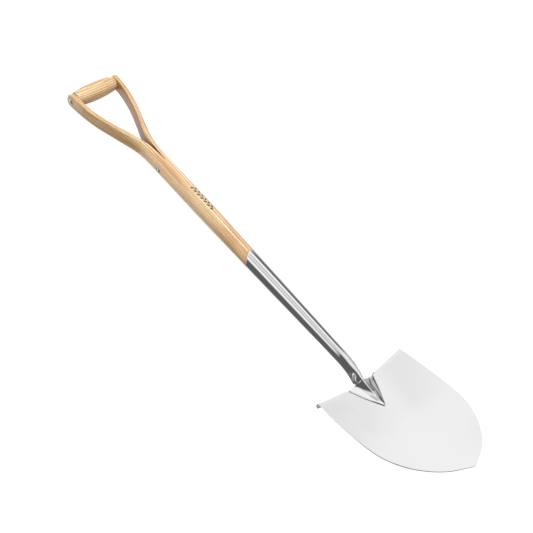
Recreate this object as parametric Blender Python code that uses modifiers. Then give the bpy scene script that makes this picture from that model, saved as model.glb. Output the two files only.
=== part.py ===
"""A garden spade: one ash shaft split into a wishbone handle, and a polished steel head.

The spade lies on its back with the face of the blade up. Stations are distances from the
grip's axis towards the tip of the blade, so that a point at station s has y = -s. X runs
across the blade, and Z rises from the shaft's axis towards the side that the blade's face is on.
"""

import math

import bmesh
import bpy
from mathutils import Matrix, Vector

MM = 0.001
ACROSS = (0.0, math.pi / 2, 0.0)     # turns a piece's own axis to +X
BACKWARD = (math.pi, 0.0, 0.0)       # turns a piece's own axis to -Z
GAP = 0.3 * MM                 # clearance between pieces that touch

# Handle
GRIP_HALF_LENGTH = 47.7 * MM
GRIP_MIDDLE_RADIUS = 18.5 * MM
GRIP_END_RADIUS = 14.3 * MM
ARM_OUTER = ((0.000, 60.0), (0.037, 56.2), (0.078, 47.0), (0.105, 37.0), (0.122, 31.0),
             (0.140, 25.0), (0.160, 20.4), (0.185, 18.5), (0.221, 18.4))
ARM_INNER = ((0.000, 48.0), (0.014, 48.0), (0.035, 45.4), (0.055, 41.2), (0.078, 34.6),
             (0.105, 25.0), (0.122, 18.2), (0.140, 10.8), (0.155, 6.0), (0.175, 2.7),
             (0.200, 1.1), (0.221, 0.0))
ARM_HALF_DEPTH = ((0.000, 14.3), (0.060, 13.8), (0.110, 14.4), (0.150, 16.2), (0.185, 18.0),
                  (0.221, 18.4))
ARM_CORNER_POWER = 3.6         # how square the bent arms are
SPLIT_END = 0.221
SHAFT_RADIUS = ((0.221, 18.4), (0.360, 18.4), (0.400, 18.0), (0.440, 17.3), (0.480, 16.7))

# Rod and rivets
ROD_RADIUS = 3.0 * MM
ROD_HEAD_RADIUS = 4.2 * MM
ROD_WASHER_RADIUS = 6.2 * MM
SPLIT_RIVET_STATION = 0.228
SPLIT_RIVET_RADIUS = 2.2 * MM
SPLIT_RIVET_HEAD_RADIUS = 3.6 * MM
SPLIT_WASHER_RADIUS = 4.9 * MM
WASHER_THICKNESS = 1.2 * MM
PIN_STATION = 0.498            # the drive pin in the back of the socket
PIN_RADIUS = 2.2 * MM
PIN_HEAD_RADIUS = 4.2 * MM
PIN_DEPTH = 13.0 * MM
BORE_CLEARANCE = 0.4 * MM

# Socket
RIM_STATION = 0.480            # at the front and back tongues of the rim
RIM_SCALLOP = 0.014            # how much lower the rim is at the sides
SOCKET_RADIUS = ((0.480, 16.9), (0.520, 16.5), (0.560, 16.0), (0.610, 15.0), (0.660, 14.2),
                 (0.700, 13.3), (0.740, 12.8), (0.760, 12.4), (0.800, 12.4))
SOCKET_WALL = 1.5 * MM
SOCKET_BORE_END = 0.752
NECK_DROP = ((0.480, 0.0), (0.750, 0.0), (0.780, 3.6), (0.800, 5.0))
FROG_CREST = ((0.770, 10.0), (0.785, 8.2), (0.808, 3.0), (0.835, -1.6), (0.868, -2.0))
FROG_HALF_WIDTH = ((0.778, 12.4), (0.790, 13.4), (0.797, 17.0), (0.8015, 26.0), (0.8045, 32.0),
                   (0.815, 28.2), (0.838, 18.2), (0.856, 8.6), (0.868, 1.4))
FROG_RIDGE_HALF_WIDTH = ((0.790, 12.4), (0.805, 11.2), (0.838, 6.4), (0.868, 1.0))
FROG_TIP = 0.868
FROG_PLATE = 1.6 * MM

# Blade
BLADE_TOP = 0.7959             # the top of the treads at their outer ends
BLADE_TIP = 1.0665
BLADE_HALF_WIDTH = ((0.0, 107.8), (0.2, 112.2), (0.4, 113.5), (0.55, 110.4), (0.7, 96.6),
                    (0.82, 74.2), (0.92, 43.8), (1.0, 0.0))
BLADE_CORNER_HEIGHT = 2.2 * MM
BLADE_LIFT = 69.1 * MM         # how much higher the tip is than the corners
BLADE_EDGE_SAG = 4.1 * MM
BLADE_CURVE_TOP = 1.57         # curvature across the blade, in 1/m, at its top
BLADE_CURVE_GAIN = 0.45
SHEET = 1.6 * MM
SIDE_SHARE = 0.70              # share of the length that the long sides take
TREAD_INNER = 38.0 * MM
TREAD_DIP = 5.1 * MM           # how much lower the treads' inner ends are
TREAD_LEAN = math.radians(11)  # how far the face leans back where the roll starts
TREAD_FRONT_RADIUS = 4.0 * MM
TREAD_FLAT = 6.0 * MM
TREAD_BACK_RADIUS = 4.0 * MM
TREAD_END = math.radians(190)  # how far the roll turns in all
TREAD_LIP = 1.5 * MM
TREAD_RISE = TREAD_FRONT_RADIUS * (1 - math.sin(TREAD_LEAN))

# Facets
HALF_RING = 16
INNER_POINTS = 5
FROG_QUARTER = 9
BLADE_ROWS = 18
TREAD_COLUMNS = 8
MIDDLE_COLUMNS = 8


def smooth(table, station):
    """A smooth curve through a few (station, value) points, without overshoot."""
    xs = [p[0] for p in table]
    ys = [p[1] for p in table]
    if station <= xs[0]:
        return ys[0]
    if station >= xs[-1]:
        return ys[-1]
    slopes = [(ys[i + 1] - ys[i]) / (xs[i + 1] - xs[i]) for i in range(len(xs) - 1)]
    tangents = [slopes[0]]
    for before, after in zip(slopes, slopes[1:]):
        if before * after <= 0:
            tangents.append(0.0)
        else:
            tangents.append(2 * before * after / (before + after))
    tangents.append(slopes[-1])
    i = max(k for k in range(len(xs) - 1) if xs[k] <= station)
    width = xs[i + 1] - xs[i]
    t = (station - xs[i]) / width
    h00 = (1 + 2 * t) * (1 - t) ** 2
    h10 = t * (1 - t) ** 2
    h01 = t * t * (3 - 2 * t)
    h11 = t * t * (t - 1)
    return h00 * ys[i] + h10 * width * tangents[i] + h01 * ys[i + 1] + h11 * width * tangents[i + 1]


def length(table, station):
    """The table's value at a station, as a length in metres."""
    return smooth(table, station) * MM


def ease(t):
    """0 to 1, level at both ends."""
    t = min(max(t, 0.0), 1.0)
    return t * t * (3 - 2 * t)


def lerp(a, b, t):
    return a + (b - a) * t


# ---------------------------------------------------------------- scene and materials

def clear_scene():
    for item in list(bpy.data.objects):
        bpy.data.objects.remove(item, do_unlink=True)


def make_material(name, colour, roughness, metallic):
    material = bpy.data.materials.new(name)
    material.use_nodes = True
    shader = material.node_tree.nodes["Principled BSDF"]
    shader.inputs["Base Color"].default_value = (*colour, 1.0)
    shader.inputs["Roughness"].default_value = roughness
    shader.inputs["Metallic"].default_value = metallic
    material.diffuse_color = (*colour, 1.0)
    return material


def make_collection(name):
    collection = bpy.data.collections.new(name)
    bpy.context.scene.collection.children.link(collection)
    return collection


def add_object(name, mesh, material, collection, root):
    item = bpy.data.objects.new(name, mesh)
    mesh.materials.append(material)
    collection.objects.link(item)
    item.parent = root
    mesh.shade_smooth()
    mesh.set_sharp_from_angle(angle=math.radians(35))
    return item


def closed_mesh(name, work):
    """Turns a bmesh into a mesh whose faces all point outwards."""
    bmesh.ops.recalc_face_normals(work, faces=work.faces)
    mesh = bpy.data.meshes.new(name)
    work.to_mesh(mesh)
    work.free()
    return mesh


def cut(item, cutter):
    modifier = item.modifiers.new("cut_" + cutter.name, "BOOLEAN")
    modifier.operation = "DIFFERENCE"
    modifier.solver = "EXACT"
    modifier.object = cutter


def add_drill(name, station, radius, start, end, cutters, root, turn=ACROSS):
    """A cylinder on a cross axis, between two distances from the shaft's axis."""
    work = bmesh.new()
    bmesh.ops.create_cone(work, cap_ends=True, segments=24, radius1=radius, radius2=radius,
                          depth=abs(end - start))
    bmesh.ops.translate(work, verts=work.verts, vec=(0.0, 0.0, (start + end) / 2))
    item = bpy.data.objects.new(name, closed_mesh(name, work))
    cutters.objects.link(item)
    item.parent = root
    item.location = (0.0, -station, 0.0)
    item.rotation_euler = turn
    item.hide_render = True
    item.display_type = "WIRE"
    return item


def add_turned(name, profile, station, material, collection, root, steps=24, closed=False,
               turn=ACROSS):
    """A piece turned about a cross axis. The profile's points are (radius, distance along)."""
    work = bmesh.new()
    verts = [work.verts.new((radius, 0.0, height)) for radius, height in profile]
    for a, b in zip(verts, verts[1:]):
        work.edges.new((a, b))
    if closed:
        work.edges.new((verts[-1], verts[0]))
    mesh = bpy.data.meshes.new(name)
    work.to_mesh(mesh)
    work.free()
    item = add_object(name, mesh, material, collection, root)
    item.location = (0.0, -station, 0.0)
    item.rotation_euler = turn
    screw = item.modifiers.new("turn", "SCREW")
    screw.steps = steps
    screw.render_steps = steps
    screw.use_merge_vertices = True
    screw.merge_threshold = 0.00001
    screw.use_smooth_shade = True
    return item


# ---------------------------------------------------------------- shaft

def rim_station(angle):
    """Where the socket's rim is, at an angle from the front of the shaft."""
    return RIM_STATION + RIM_SCALLOP * math.sin(angle) ** 2


def round_half(side, station_at, radius):
    """Half of a round section, from the front over one side to the back."""
    points = []
    for i in range(HALF_RING + 1):
        angle = math.pi * i / HALF_RING
        points.append(Vector((side * radius * math.sin(angle), -station_at(angle),
                              radius * math.cos(angle))))
    return points


def arm_section(side, station, squareness, end_angle=0.0):
    """A closed section of one arm: its outer half, then points back along its inner side."""
    outer = length(ARM_OUTER, station)
    inner = length(ARM_INNER, station)
    depth = length(ARM_HALF_DEPTH, station)
    y = -station
    if end_angle:
        shrink = math.cos(end_angle)
        y = GRIP_END_RADIUS * math.sin(end_angle)
        outer -= (outer - inner) * 0.45 * (1 - shrink) ** 2
        depth *= shrink
    middle = (outer + inner) / 2
    half = (outer - inner) / 2
    power = 2 / ARM_CORNER_POWER
    points = []
    for i in range(HALF_RING + 1 + INNER_POINTS):
        if i <= HALF_RING:
            angle = math.pi * i / HALF_RING
            plain_x = inner + (outer - inner) * math.sin(angle)
            plain_z = depth * math.cos(angle)
        else:
            share = (i - HALF_RING) / (INNER_POINTS + 1)
            angle = math.pi * (1 + share)
            plain_x = inner
            plain_z = depth * (2 * share - 1)
        sine, cosine = math.sin(angle), math.cos(angle)
        square_x = middle + half * math.copysign(abs(sine) ** power, sine)
        square_z = depth * math.copysign(abs(cosine) ** power, cosine)
        points.append(Vector((side * lerp(plain_x, square_x, squareness), y,
                              lerp(plain_z, square_z, squareness))))
    return points


def bridge(work, ring_a, ring_b):
    count = len(ring_a)
    for i in range(count):
        j = (i + 1) % count
        work.faces.new((ring_a[i], ring_a[j], ring_b[j], ring_b[i]))


def build_arm(work, side, outer_half, inner_line):
    """The sections of one arm, from the end of the split up to its rounded top."""
    ring = outer_half + inner_line
    stations = (0.212, 0.200, 0.188, 0.176, 0.164, 0.152, 0.140, 0.127, 0.113, 0.098, 0.082,
                0.066, 0.050, 0.034, 0.018, 0.006)
    sections = [arm_section(side, s, ease((0.196 - s) / 0.075)) for s in stations]
    for degrees in (0.1, 22, 42, 58, 70, 80):
        sections.append(arm_section(side, 0.0, 1.0, math.radians(degrees)))
    for section in sections:
        above = [work.verts.new(p) for p in section]
        bridge(work, ring, above)
        ring = above
    work.faces.new(ring)


def build_shaft(material, collection, cutters, root):
    work = bmesh.new()

    def whole_ring(station_at, radius):
        right = round_half(1, station_at, radius)
        left = round_half(-1, station_at, radius)
        return [work.verts.new(p) for p in right + left[-2:0:-1]]

    def level(station):
        return lambda angle: station

    fit = SOCKET_WALL + GAP
    first = whole_ring(level(SPLIT_END), length(SHAFT_RADIUS, SPLIT_END))
    ring = first
    for station in (0.240, 0.300, 0.360, 0.400, 0.430, 0.455):
        below = whole_ring(level(station), length(SHAFT_RADIUS, station))
        bridge(work, ring, below)
        ring = below
    shoulder = length(SHAFT_RADIUS, RIM_STATION)
    tenon = length(SOCKET_RADIUS, RIM_STATION) - fit
    for radius in (shoulder, tenon):
        below = whole_ring(lambda angle: rim_station(angle) - GAP, radius)
        bridge(work, ring, below)
        ring = below
    for station in (0.520, 0.560, 0.610, 0.660, 0.700, 0.742):
        below = whole_ring(level(station), length(SOCKET_RADIUS, station) - fit)
        bridge(work, ring, below)
        ring = below
    below = whole_ring(level(0.746), length(SOCKET_RADIUS, 0.746) - fit - 3 * MM)
    bridge(work, ring, below)
    work.faces.new(below)

    radius = length(ARM_HALF_DEPTH, SPLIT_END)
    inner = [work.verts.new((0.0, -SPLIT_END, radius * (2 * k / (INNER_POINTS + 1) - 1)))
             for k in range(1, INNER_POINTS + 1)]
    right = first[:HALF_RING + 1]
    left = [first[0]] + first[:HALF_RING - 1:-1]
    build_arm(work, 1, right, inner)
    build_arm(work, -1, left, inner)

    shaft = add_object("shaft", closed_mesh("shaft", work), material, collection, root)
    bore_half = 0.080
    seat = length(ARM_OUTER, 0.0) - WASHER_THICKNESS - 0.4 * MM
    split_seat = split_washer_seat()
    cut(shaft, add_drill("rod_bore", 0.0, ROD_RADIUS + BORE_CLEARANCE, -bore_half, bore_half,
                         cutters, root))
    cut(shaft, add_drill("split_bore", SPLIT_RIVET_STATION, SPLIT_RIVET_RADIUS + BORE_CLEARANCE,
                         -0.03, 0.03, cutters, root))
    cut(shaft, add_pin_drill("pin_hole_in_shaft", cutters, root))
    for side, word in ((-1, "left"), (1, "right")):
        cut(shaft, add_drill("rod_counterbore_" + word, 0.0, ROD_WASHER_RADIUS + BORE_CLEARANCE,
                             side * seat, side * bore_half, cutters, root))
        cut(shaft, add_drill("split_counterbore_" + word, SPLIT_RIVET_STATION,
                             SPLIT_WASHER_RADIUS + BORE_CLEARANCE, side * split_seat,
                             side * 0.03, cutters, root))


def add_pin_drill(name, cutters, root):
    """The hole for the drive pin, from outside the socket's back to inside the shaft."""
    outside = length(SOCKET_RADIUS, PIN_STATION) + 5 * MM
    inside = length(SOCKET_RADIUS, PIN_STATION) - PIN_DEPTH - 1 * MM
    return add_drill(name, PIN_STATION, PIN_RADIUS + BORE_CLEARANCE, inside, outside, cutters,
                     root, turn=BACKWARD)


def split_washer_seat():
    """The depth of the counterbores below the split, as a distance from the shaft's axis."""
    return length(SHAFT_RADIUS, SPLIT_RIVET_STATION) - 2.4 * MM


# ---------------------------------------------------------------- grip, rod, rivets

def build_grip(material, collection, root):
    count = 12
    profile = []
    for i in range(count + 1):
        x = GRIP_HALF_LENGTH * (1 - 2 * i / count)
        share = (x / GRIP_HALF_LENGTH) ** 2
        profile.append((lerp(GRIP_MIDDLE_RADIUS, GRIP_END_RADIUS, share), x))
    bore = ROD_RADIUS + BORE_CLEARANCE
    profile += [(bore, -GRIP_HALF_LENGTH), (bore, GRIP_HALF_LENGTH)]
    add_turned("grip", profile, 0.0, material, collection, root, steps=32, closed=True)


def dome(radius, base, height, count=4):
    """Points of a low dome from its tip on the axis down to its rim."""
    points = []
    for i in range(count + 1):
        angle = math.pi / 2 * i / count
        points.append((radius * math.sin(angle), base + height * math.cos(angle)))
    return points


def build_rivet(name, station, radius, head_radius, seat, head_height, material, collection,
                root):
    """A rod with a peened dome at each end, seated on washers that end at x = +-seat."""
    right = dome(head_radius, seat + GAP, head_height)
    left = [(r, -x) for r, x in reversed(right)]
    profile = right + [(radius, seat + GAP), (radius, -seat - GAP)] + left
    add_turned(name, profile, station, material, collection, root, steps=20)


def build_socket_pin(material, collection, root):
    seat = length(SOCKET_RADIUS, PIN_STATION) + GAP
    tip = seat - PIN_DEPTH
    profile = dome(PIN_HEAD_RADIUS, seat, 1.8 * MM)
    profile += [(PIN_RADIUS, seat), (PIN_RADIUS, tip + PIN_RADIUS), (0.0, tip)]
    add_turned("socket_pin", profile, PIN_STATION, material, collection, root, steps=20,
               turn=BACKWARD)


def build_washer(name, station, bore, radius, inner_face, material, collection, root):
    near, far = inner_face, inner_face + math.copysign(WASHER_THICKNESS, inner_face)
    high, low = max(near, far), min(near, far)
    profile = [(bore, high), (radius, high), (radius, low), (bore, low)]
    add_turned(name, profile, station, material, collection, root, steps=24, closed=True)


def build_fasteners(steel, collection, root):
    rod_seat = length(ARM_OUTER, 0.0) - WASHER_THICKNESS - 0.4 * MM + GAP
    split_seat = split_washer_seat() + GAP
    for side, word in ((-1, "left"), (1, "right")):
        build_washer("grip_rod_washer_" + word, 0.0, ROD_RADIUS + BORE_CLEARANCE,
                     ROD_WASHER_RADIUS, side * rod_seat, steel, collection, root)
        build_washer("split_rivet_washer_" + word, SPLIT_RIVET_STATION,
                     SPLIT_RIVET_RADIUS + BORE_CLEARANCE, SPLIT_WASHER_RADIUS,
                     side * split_seat, steel, collection, root)
    build_rivet("grip_rod", 0.0, ROD_RADIUS, ROD_HEAD_RADIUS, rod_seat + WASHER_THICKNESS,
                1.6 * MM, steel, collection, root)
    build_rivet("split_rivet", SPLIT_RIVET_STATION, SPLIT_RIVET_RADIUS,
                SPLIT_RIVET_HEAD_RADIUS, split_seat + WASHER_THICKNESS, 1.4 * MM, steel,
                collection, root)
    build_socket_pin(steel, collection, root)


# ---------------------------------------------------------------- blade

def blade_share(station):
    return (station - BLADE_TOP) / (BLADE_TIP - BLADE_TOP)


def blade_station(share):
    return lerp(BLADE_TOP, BLADE_TIP, share)


def blade_half_width(share):
    return length(BLADE_HALF_WIDTH, share)


def edge_height(share):
    """The height of the blade's rim above the shaft's axis."""
    return BLADE_CORNER_HEIGHT + BLADE_LIFT * share - BLADE_EDGE_SAG * 4 * share * (1 - share)


def face_height(x, station):
    """The height of the blade's face, dished between its two sides."""
    share = blade_share(station)
    curve = BLADE_CURVE_TOP + BLADE_CURVE_GAIN * ease(share / 0.6)
    return edge_height(share) - curve * (blade_half_width(share) ** 2 - x * x)


def top_station(x):
    """Where the roll starts along the top edge, which dips from the corners to the middle."""
    outward = max((abs(x) - TREAD_INNER) / (blade_half_width(0.0) - TREAD_INNER), 0.0)
    return BLADE_TOP + TREAD_RISE + TREAD_DIP * (1 - outward)


def blade_columns():
    """The mesh's columns along the top edge, from -1 to 1, with one at each tread's end."""
    inner = TREAD_INNER / blade_half_width(0.0)
    left = [lerp(-1.0, -inner, i / TREAD_COLUMNS) for i in range(TREAD_COLUMNS)]
    middle = [lerp(-inner, inner, i / MIDDLE_COLUMNS) for i in range(MIDDLE_COLUMNS + 1)]
    return left + middle + [-u for u in reversed(left)]


def blade_point(u, t):
    """A point of the blade's plan: u runs across, t from the top edge to the bottom edge."""
    corner = blade_half_width(0.0)
    across = (u + 1) / 2
    low = abs(u) ** 1.6

    def side(k):
        share = lerp(blade_share(top_station(corner)), SIDE_SHARE, k)
        return Vector((blade_half_width(share), blade_station(share)))

    top = Vector((corner * u, top_station(corner * u)))
    bottom_share = 1 - (1 - SIDE_SHARE) * low
    bottom = Vector((math.copysign(blade_half_width(bottom_share), u),
                     blade_station(bottom_share)))
    right = side(t)
    left = Vector((-right.x, right.y))
    right_top, right_low = side(0.0), side(1.0)
    left_top = Vector((-right_top.x, right_top.y))
    left_low = Vector((-right_low.x, right_low.y))
    corners = ((1 - t) * ((1 - across) * left_top + across * right_top)
               + t * ((1 - across) * left_low + across * right_low))
    return (1 - t) * top + t * bottom + (1 - across) * left + across * right - corners


def tread_profile():
    """The rolled top edge as (up, back) offsets: round, flat, round, and a short lip."""
    points = []
    for i in range(1, 4):
        angle = lerp(TREAD_LEAN, math.pi / 2, i / 3)
        points.append((TREAD_FRONT_RADIUS * (math.sin(angle) - math.sin(TREAD_LEAN)),
                       TREAD_FRONT_RADIUS * (math.cos(TREAD_LEAN) - math.cos(angle))))
    up, back = points[-1]
    back += TREAD_FLAT
    points.append((up, back))
    for i in range(1, 5):
        angle = lerp(math.pi / 2, TREAD_END, i / 4)
        points.append((up + TREAD_BACK_RADIUS * (math.sin(angle) - 1),
                       back - TREAD_BACK_RADIUS * math.cos(angle)))
    up, back = points[-1]
    points.append((up + TREAD_LIP * math.cos(TREAD_END), back + TREAD_LIP * math.sin(TREAD_END)))
    return points


def build_blade(material, collection, root):
    columns = blade_columns()
    work = bmesh.new()
    grid = []
    for row in range(BLADE_ROWS + 1):
        line = []
        for u in columns:
            x, station = blade_point(u, row / BLADE_ROWS)
            line.append(work.verts.new((x, -station, face_height(x, station))))
        grid.append(line)
    for above, below in zip(grid, grid[1:]):
        for i in range(len(columns) - 1):
            work.faces.new((above[i], below[i], below[i + 1], above[i + 1]))
    for first in (0, TREAD_COLUMNS + MIDDLE_COLUMNS):
        ring = grid[0][first:first + TREAD_COLUMNS + 1]
        bases = [v.co.copy() for v in ring]
        for up, back in tread_profile():
            above = [work.verts.new(base + Vector((0.0, up, -back))) for base in bases]
            for i in range(TREAD_COLUMNS):
                work.faces.new((above[i], ring[i], ring[i + 1], above[i + 1]))
            ring = above
    mesh = bpy.data.meshes.new("blade")
    work.to_mesh(mesh)
    work.free()
    blade = add_object("blade", mesh, material, collection, root)
    solid = blade.modifiers.new("sheet", "SOLIDIFY")
    solid.thickness = SHEET
    solid.offset = -1.0
    solid.use_even_offset = True


# ---------------------------------------------------------------- socket

def tube_ring(station_at, radius, drop):
    points = []
    for i in range(4 * FROG_QUARTER):
        angle = math.pi / 2 * i / FROG_QUARTER
        points.append(Vector((radius * math.sin(angle), -station_at(angle),
                              radius * math.cos(angle) - drop)))
    return points


def frog_ring(station):
    """A section of the frog: a rounded ridge between two thin wings that lie on the blade."""
    half = length(FROG_HALF_WIDTH, station)
    ridge = min(length(FROG_RIDGE_HALF_WIDTH, station), half * 0.85)
    crest = length(FROG_CREST, station)
    round_steps = 6
    points = []
    for i in range(4 * FROG_QUARTER):
        side = 1 if i <= 2 * FROG_QUARTER else -1
        k = i if side == 1 else 4 * FROG_QUARTER - i
        if k <= round_steps:
            angle = math.pi / 2 * k / round_steps
            x = ridge * math.sin(angle)
            plate = face_height(x, station) + GAP + FROG_PLATE
            rise = max(crest - face_height(0.0, station) - GAP - FROG_PLATE, 0.0)
            z = plate + rise * math.cos(angle)
        elif k <= FROG_QUARTER:
            x = lerp(ridge, half, (k - round_steps) / (FROG_QUARTER - round_steps))
            z = face_height(x, station) + GAP + FROG_PLATE
        else:
            x = half * (2 * FROG_QUARTER - k) / FROG_QUARTER
            z = face_height(x, station) + GAP
        points.append(Vector((side * x, -station, z)))
    return points


def neck_ring(station):
    """Between the round neck and the frog, the front changes later than the back."""
    tube = tube_ring(lambda angle: station, length(SOCKET_RADIUS, station),
                     length(NECK_DROP, station))
    frog = frog_ring(station)
    front_share = ease((station - 0.770) / (0.806 - 0.770))
    back_share = ease((station - 0.770) / (0.799 - 0.770))
    points = []
    for i, (a, b) in enumerate(zip(tube, frog)):
        is_front = i <= FROG_QUARTER or i >= 3 * FROG_QUARTER
        points.append(a.lerp(b, front_share if is_front else back_share))
    return points


def build_socket(material, collection, cutters, root):
    work = bmesh.new()
    bore_stations = (0.742, 0.700, 0.660, 0.610, 0.560, 0.520)
    rim_outer = length(SOCKET_RADIUS, RIM_STATION)

    def level(station):
        return lambda angle: station

    rings = [tube_ring(level(SOCKET_BORE_END),
                       length(SOCKET_RADIUS, SOCKET_BORE_END) - SOCKET_WALL - 3 * MM, 0.0)]
    for station in bore_stations:
        rings.append(tube_ring(level(station), length(SOCKET_RADIUS, station) - SOCKET_WALL, 0.0))
    rings.append(tube_ring(rim_station, rim_outer - SOCKET_WALL, 0.0))
    rings.append(tube_ring(rim_station, rim_outer, 0.0))
    for station in bore_stations[::-1] + (0.756,):
        rings.append(tube_ring(level(station), length(SOCKET_RADIUS, station),
                               length(NECK_DROP, station)))
    for station in (0.768, 0.776, 0.784, 0.790, 0.795, 0.799, 0.8015, 0.8045, 0.808, 0.815,
                    0.824, 0.834, 0.845, 0.856, FROG_TIP):
        rings.append(neck_ring(station))
    previous = [work.verts.new(p) for p in rings[0]]
    work.faces.new(previous)
    for ring in rings[1:]:
        current = [work.verts.new(p) for p in ring]
        bridge(work, previous, current)
        previous = current
    work.faces.new(previous)
    socket = add_object("socket", closed_mesh("socket", work), material, collection, root)
    cut(socket, add_pin_drill("pin_hole_in_socket", cutters, root))


# ---------------------------------------------------------------- assembly

def world_points(item):
    bpy.context.view_layer.update()
    evaluated = item.evaluated_get(bpy.context.evaluated_depsgraph_get())
    return [evaluated.matrix_world @ v.co for v in evaluated.data.vertices]


def lay_down(root, pieces):
    """Turns the spade until the grip and the treads rest on one level, then centres it."""
    grip_low = min(world_points(pieces["grip"]), key=lambda p: p.z)
    blade_low = min(world_points(pieces["blade"]), key=lambda p: p.z)
    root.rotation_euler.x = -math.atan2(grip_low.z - blade_low.z, grip_low.y - blade_low.y)
    points = [p for piece in pieces.values() for p in world_points(piece)]
    low = Vector([min(p[axis] for p in points) for axis in range(3)])
    high = Vector([max(p[axis] for p in points) for axis in range(3)])
    root.location = (-(low.x + high.x) / 2, -(low.y + high.y) / 2, -low.z)


def main():
    clear_scene()
    parts = make_collection("garden_spade")
    cutters = make_collection("cutters")
    root = bpy.data.objects.new("spade_frame", None)
    parts.objects.link(root)
    ash = make_material("ash", (0.72, 0.52, 0.30), 0.42, 0.0)
    polished = make_material("polished_steel", (0.78, 0.79, 0.80), 0.12, 1.0)
    satin = make_material("satin_steel", (0.80, 0.81, 0.82), 0.28, 1.0)
    bright = make_material("rivet_steel", (0.62, 0.62, 0.63), 0.25, 1.0)
    build_shaft(ash, parts, cutters, root)
    build_grip(ash, parts, root)
    build_fasteners(bright, parts, root)
    build_socket(polished, parts, cutters, root)
    build_blade(satin, parts, root)
    lay_down(root, {item.name: item for item in parts.objects if item.type == "MESH"})


main()
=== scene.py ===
# %% [markdown]
# # A garden spade
#
# This lesson dresses the measured model of a garden spade: an ash shaft that is split and bent
# into a wishbone handle, a turned ash grip, and a polished stainless steel head. The measured
# model holds every size. It is loaded here as a fixed frame, and finer surfaces and real
# materials are built round it.

import math

import bmesh
import bpy
from mathutils import Matrix, Vector, kdtree


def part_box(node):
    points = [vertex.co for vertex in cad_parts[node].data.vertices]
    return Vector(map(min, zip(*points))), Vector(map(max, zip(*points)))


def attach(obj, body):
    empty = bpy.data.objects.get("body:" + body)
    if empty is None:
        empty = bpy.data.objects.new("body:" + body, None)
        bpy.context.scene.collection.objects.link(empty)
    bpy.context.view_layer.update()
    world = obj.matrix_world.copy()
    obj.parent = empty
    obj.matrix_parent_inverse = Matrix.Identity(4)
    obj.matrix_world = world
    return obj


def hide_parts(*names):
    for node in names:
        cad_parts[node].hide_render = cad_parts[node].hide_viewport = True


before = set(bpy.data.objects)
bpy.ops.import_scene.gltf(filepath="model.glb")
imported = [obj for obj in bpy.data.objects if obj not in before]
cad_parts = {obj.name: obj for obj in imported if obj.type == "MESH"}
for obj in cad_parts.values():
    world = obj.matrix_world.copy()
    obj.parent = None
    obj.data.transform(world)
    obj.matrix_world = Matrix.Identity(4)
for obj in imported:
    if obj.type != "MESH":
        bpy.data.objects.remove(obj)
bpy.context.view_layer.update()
MM = 0.001
print("measured pieces:", ", ".join(sorted(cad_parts)))

# %% [markdown]
# ## Where things are
#
# The spade lies on its back, with the shaft half a degree out of level because it rests on the
# grip and on the two foot treads. Two pieces give the line of the shaft: the middle of the grip,
# and the middle of the rivet below the split. From them comes one matrix that takes a distance
# across the shaft, a distance along it and a height above it to the right place. A distance from
# the grip's axis towards the blade is called a station, as a boat builder would.

# %% The shaft's own axes
def middle_of(node_name):
    low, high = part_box(node_name)
    return (Vector(low) + Vector(high)) / 2


GRIP_MIDDLE = middle_of("grip")
RIVET_MIDDLE = middle_of("split_rivet")
SPLIT_RIVET_STATION = (RIVET_MIDDLE - GRIP_MIDDLE).length
UP_SHAFT = (GRIP_MIDDLE - RIVET_MIDDLE).normalized()
ACROSS = Vector((1.0, 0.0, 0.0))
FACE_UP = ACROSS.cross(UP_SHAFT)
AXES = Matrix((ACROSS, UP_SHAFT, FACE_UP)).transposed().to_4x4()
SHAFT_FRAME = Matrix.Translation(GRIP_MIDDLE) @ AXES

print("rivet station", round(SPLIT_RIVET_STATION / MM, 1), "mm; the shaft leans",
      round(math.degrees(math.asin(UP_SHAFT.z)), 2), "degrees")

# %% [markdown]
# ## The camera
#
# The spade is looked at from its blade end, from the left and from well above, through a long
# lens that keeps the proportions of near and far parts. The camera is tipped over so that the
# shaft runs from corner to corner. It is placed as on a tripod: by an aim point, a distance, two
# angles and a tip.

# %% Aim the camera
CAMERA_AIM = Vector((0.0172, 0.0076, 0.020))
CAMERA_DISTANCE = 2.7071
CAMERA_AZIMUTH = math.radians(-59.308)
CAMERA_HEIGHT = math.radians(50.880)
CAMERA_TIP = math.radians(22.588)
CAMERA_LENS = 96.69


def make_camera():
    towards = Vector((math.sin(CAMERA_AZIMUTH) * math.cos(CAMERA_HEIGHT),
                      -math.cos(CAMERA_AZIMUTH) * math.cos(CAMERA_HEIGHT),
                      math.sin(CAMERA_HEIGHT)))
    bpy.ops.object.camera_add(location=(0.0, 0.0, 0.0))
    camera = bpy.context.active_object
    camera.name = "studio_camera"
    camera.data.lens = CAMERA_LENS
    level = towards.to_track_quat("Z", "Y").to_matrix().to_4x4()
    tip = Matrix.Rotation(CAMERA_TIP, 4, "Z")
    camera.matrix_world = Matrix.Translation(CAMERA_AIM + towards * CAMERA_DISTANCE) @ level @ tip
    bpy.context.scene.camera = camera
    return camera


bpy.ops.object.select_all(action="DESELECT")
print("camera at", [round(v, 3) for v in make_camera().matrix_world.translation])

# %% [markdown]
# ## Tools for shader nodes
#
# Materials, shared node groups and the studio's surroundings are all node trees. A few short
# helpers make a node, feed its sockets with a number or with another node's output, and return
# the output, so that a pattern reads like a sum.

# %% Node helpers
def add_node(tree, kind, **settings):
    made = tree.nodes.new(kind)
    for setting, value in settings.items():
        setattr(made, setting, value)
    return made


def feed(tree, socket, value):
    if isinstance(value, bpy.types.NodeSocket):
        tree.links.new(value, socket)
    else:
        socket.default_value = value


def feed_all(tree, made, **values):
    """Feeds a node's sockets by their names, with _ for a space."""
    for label, value in values.items():
        feed(tree, made.inputs[label.replace("_", " ")], value)
    return made


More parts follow.
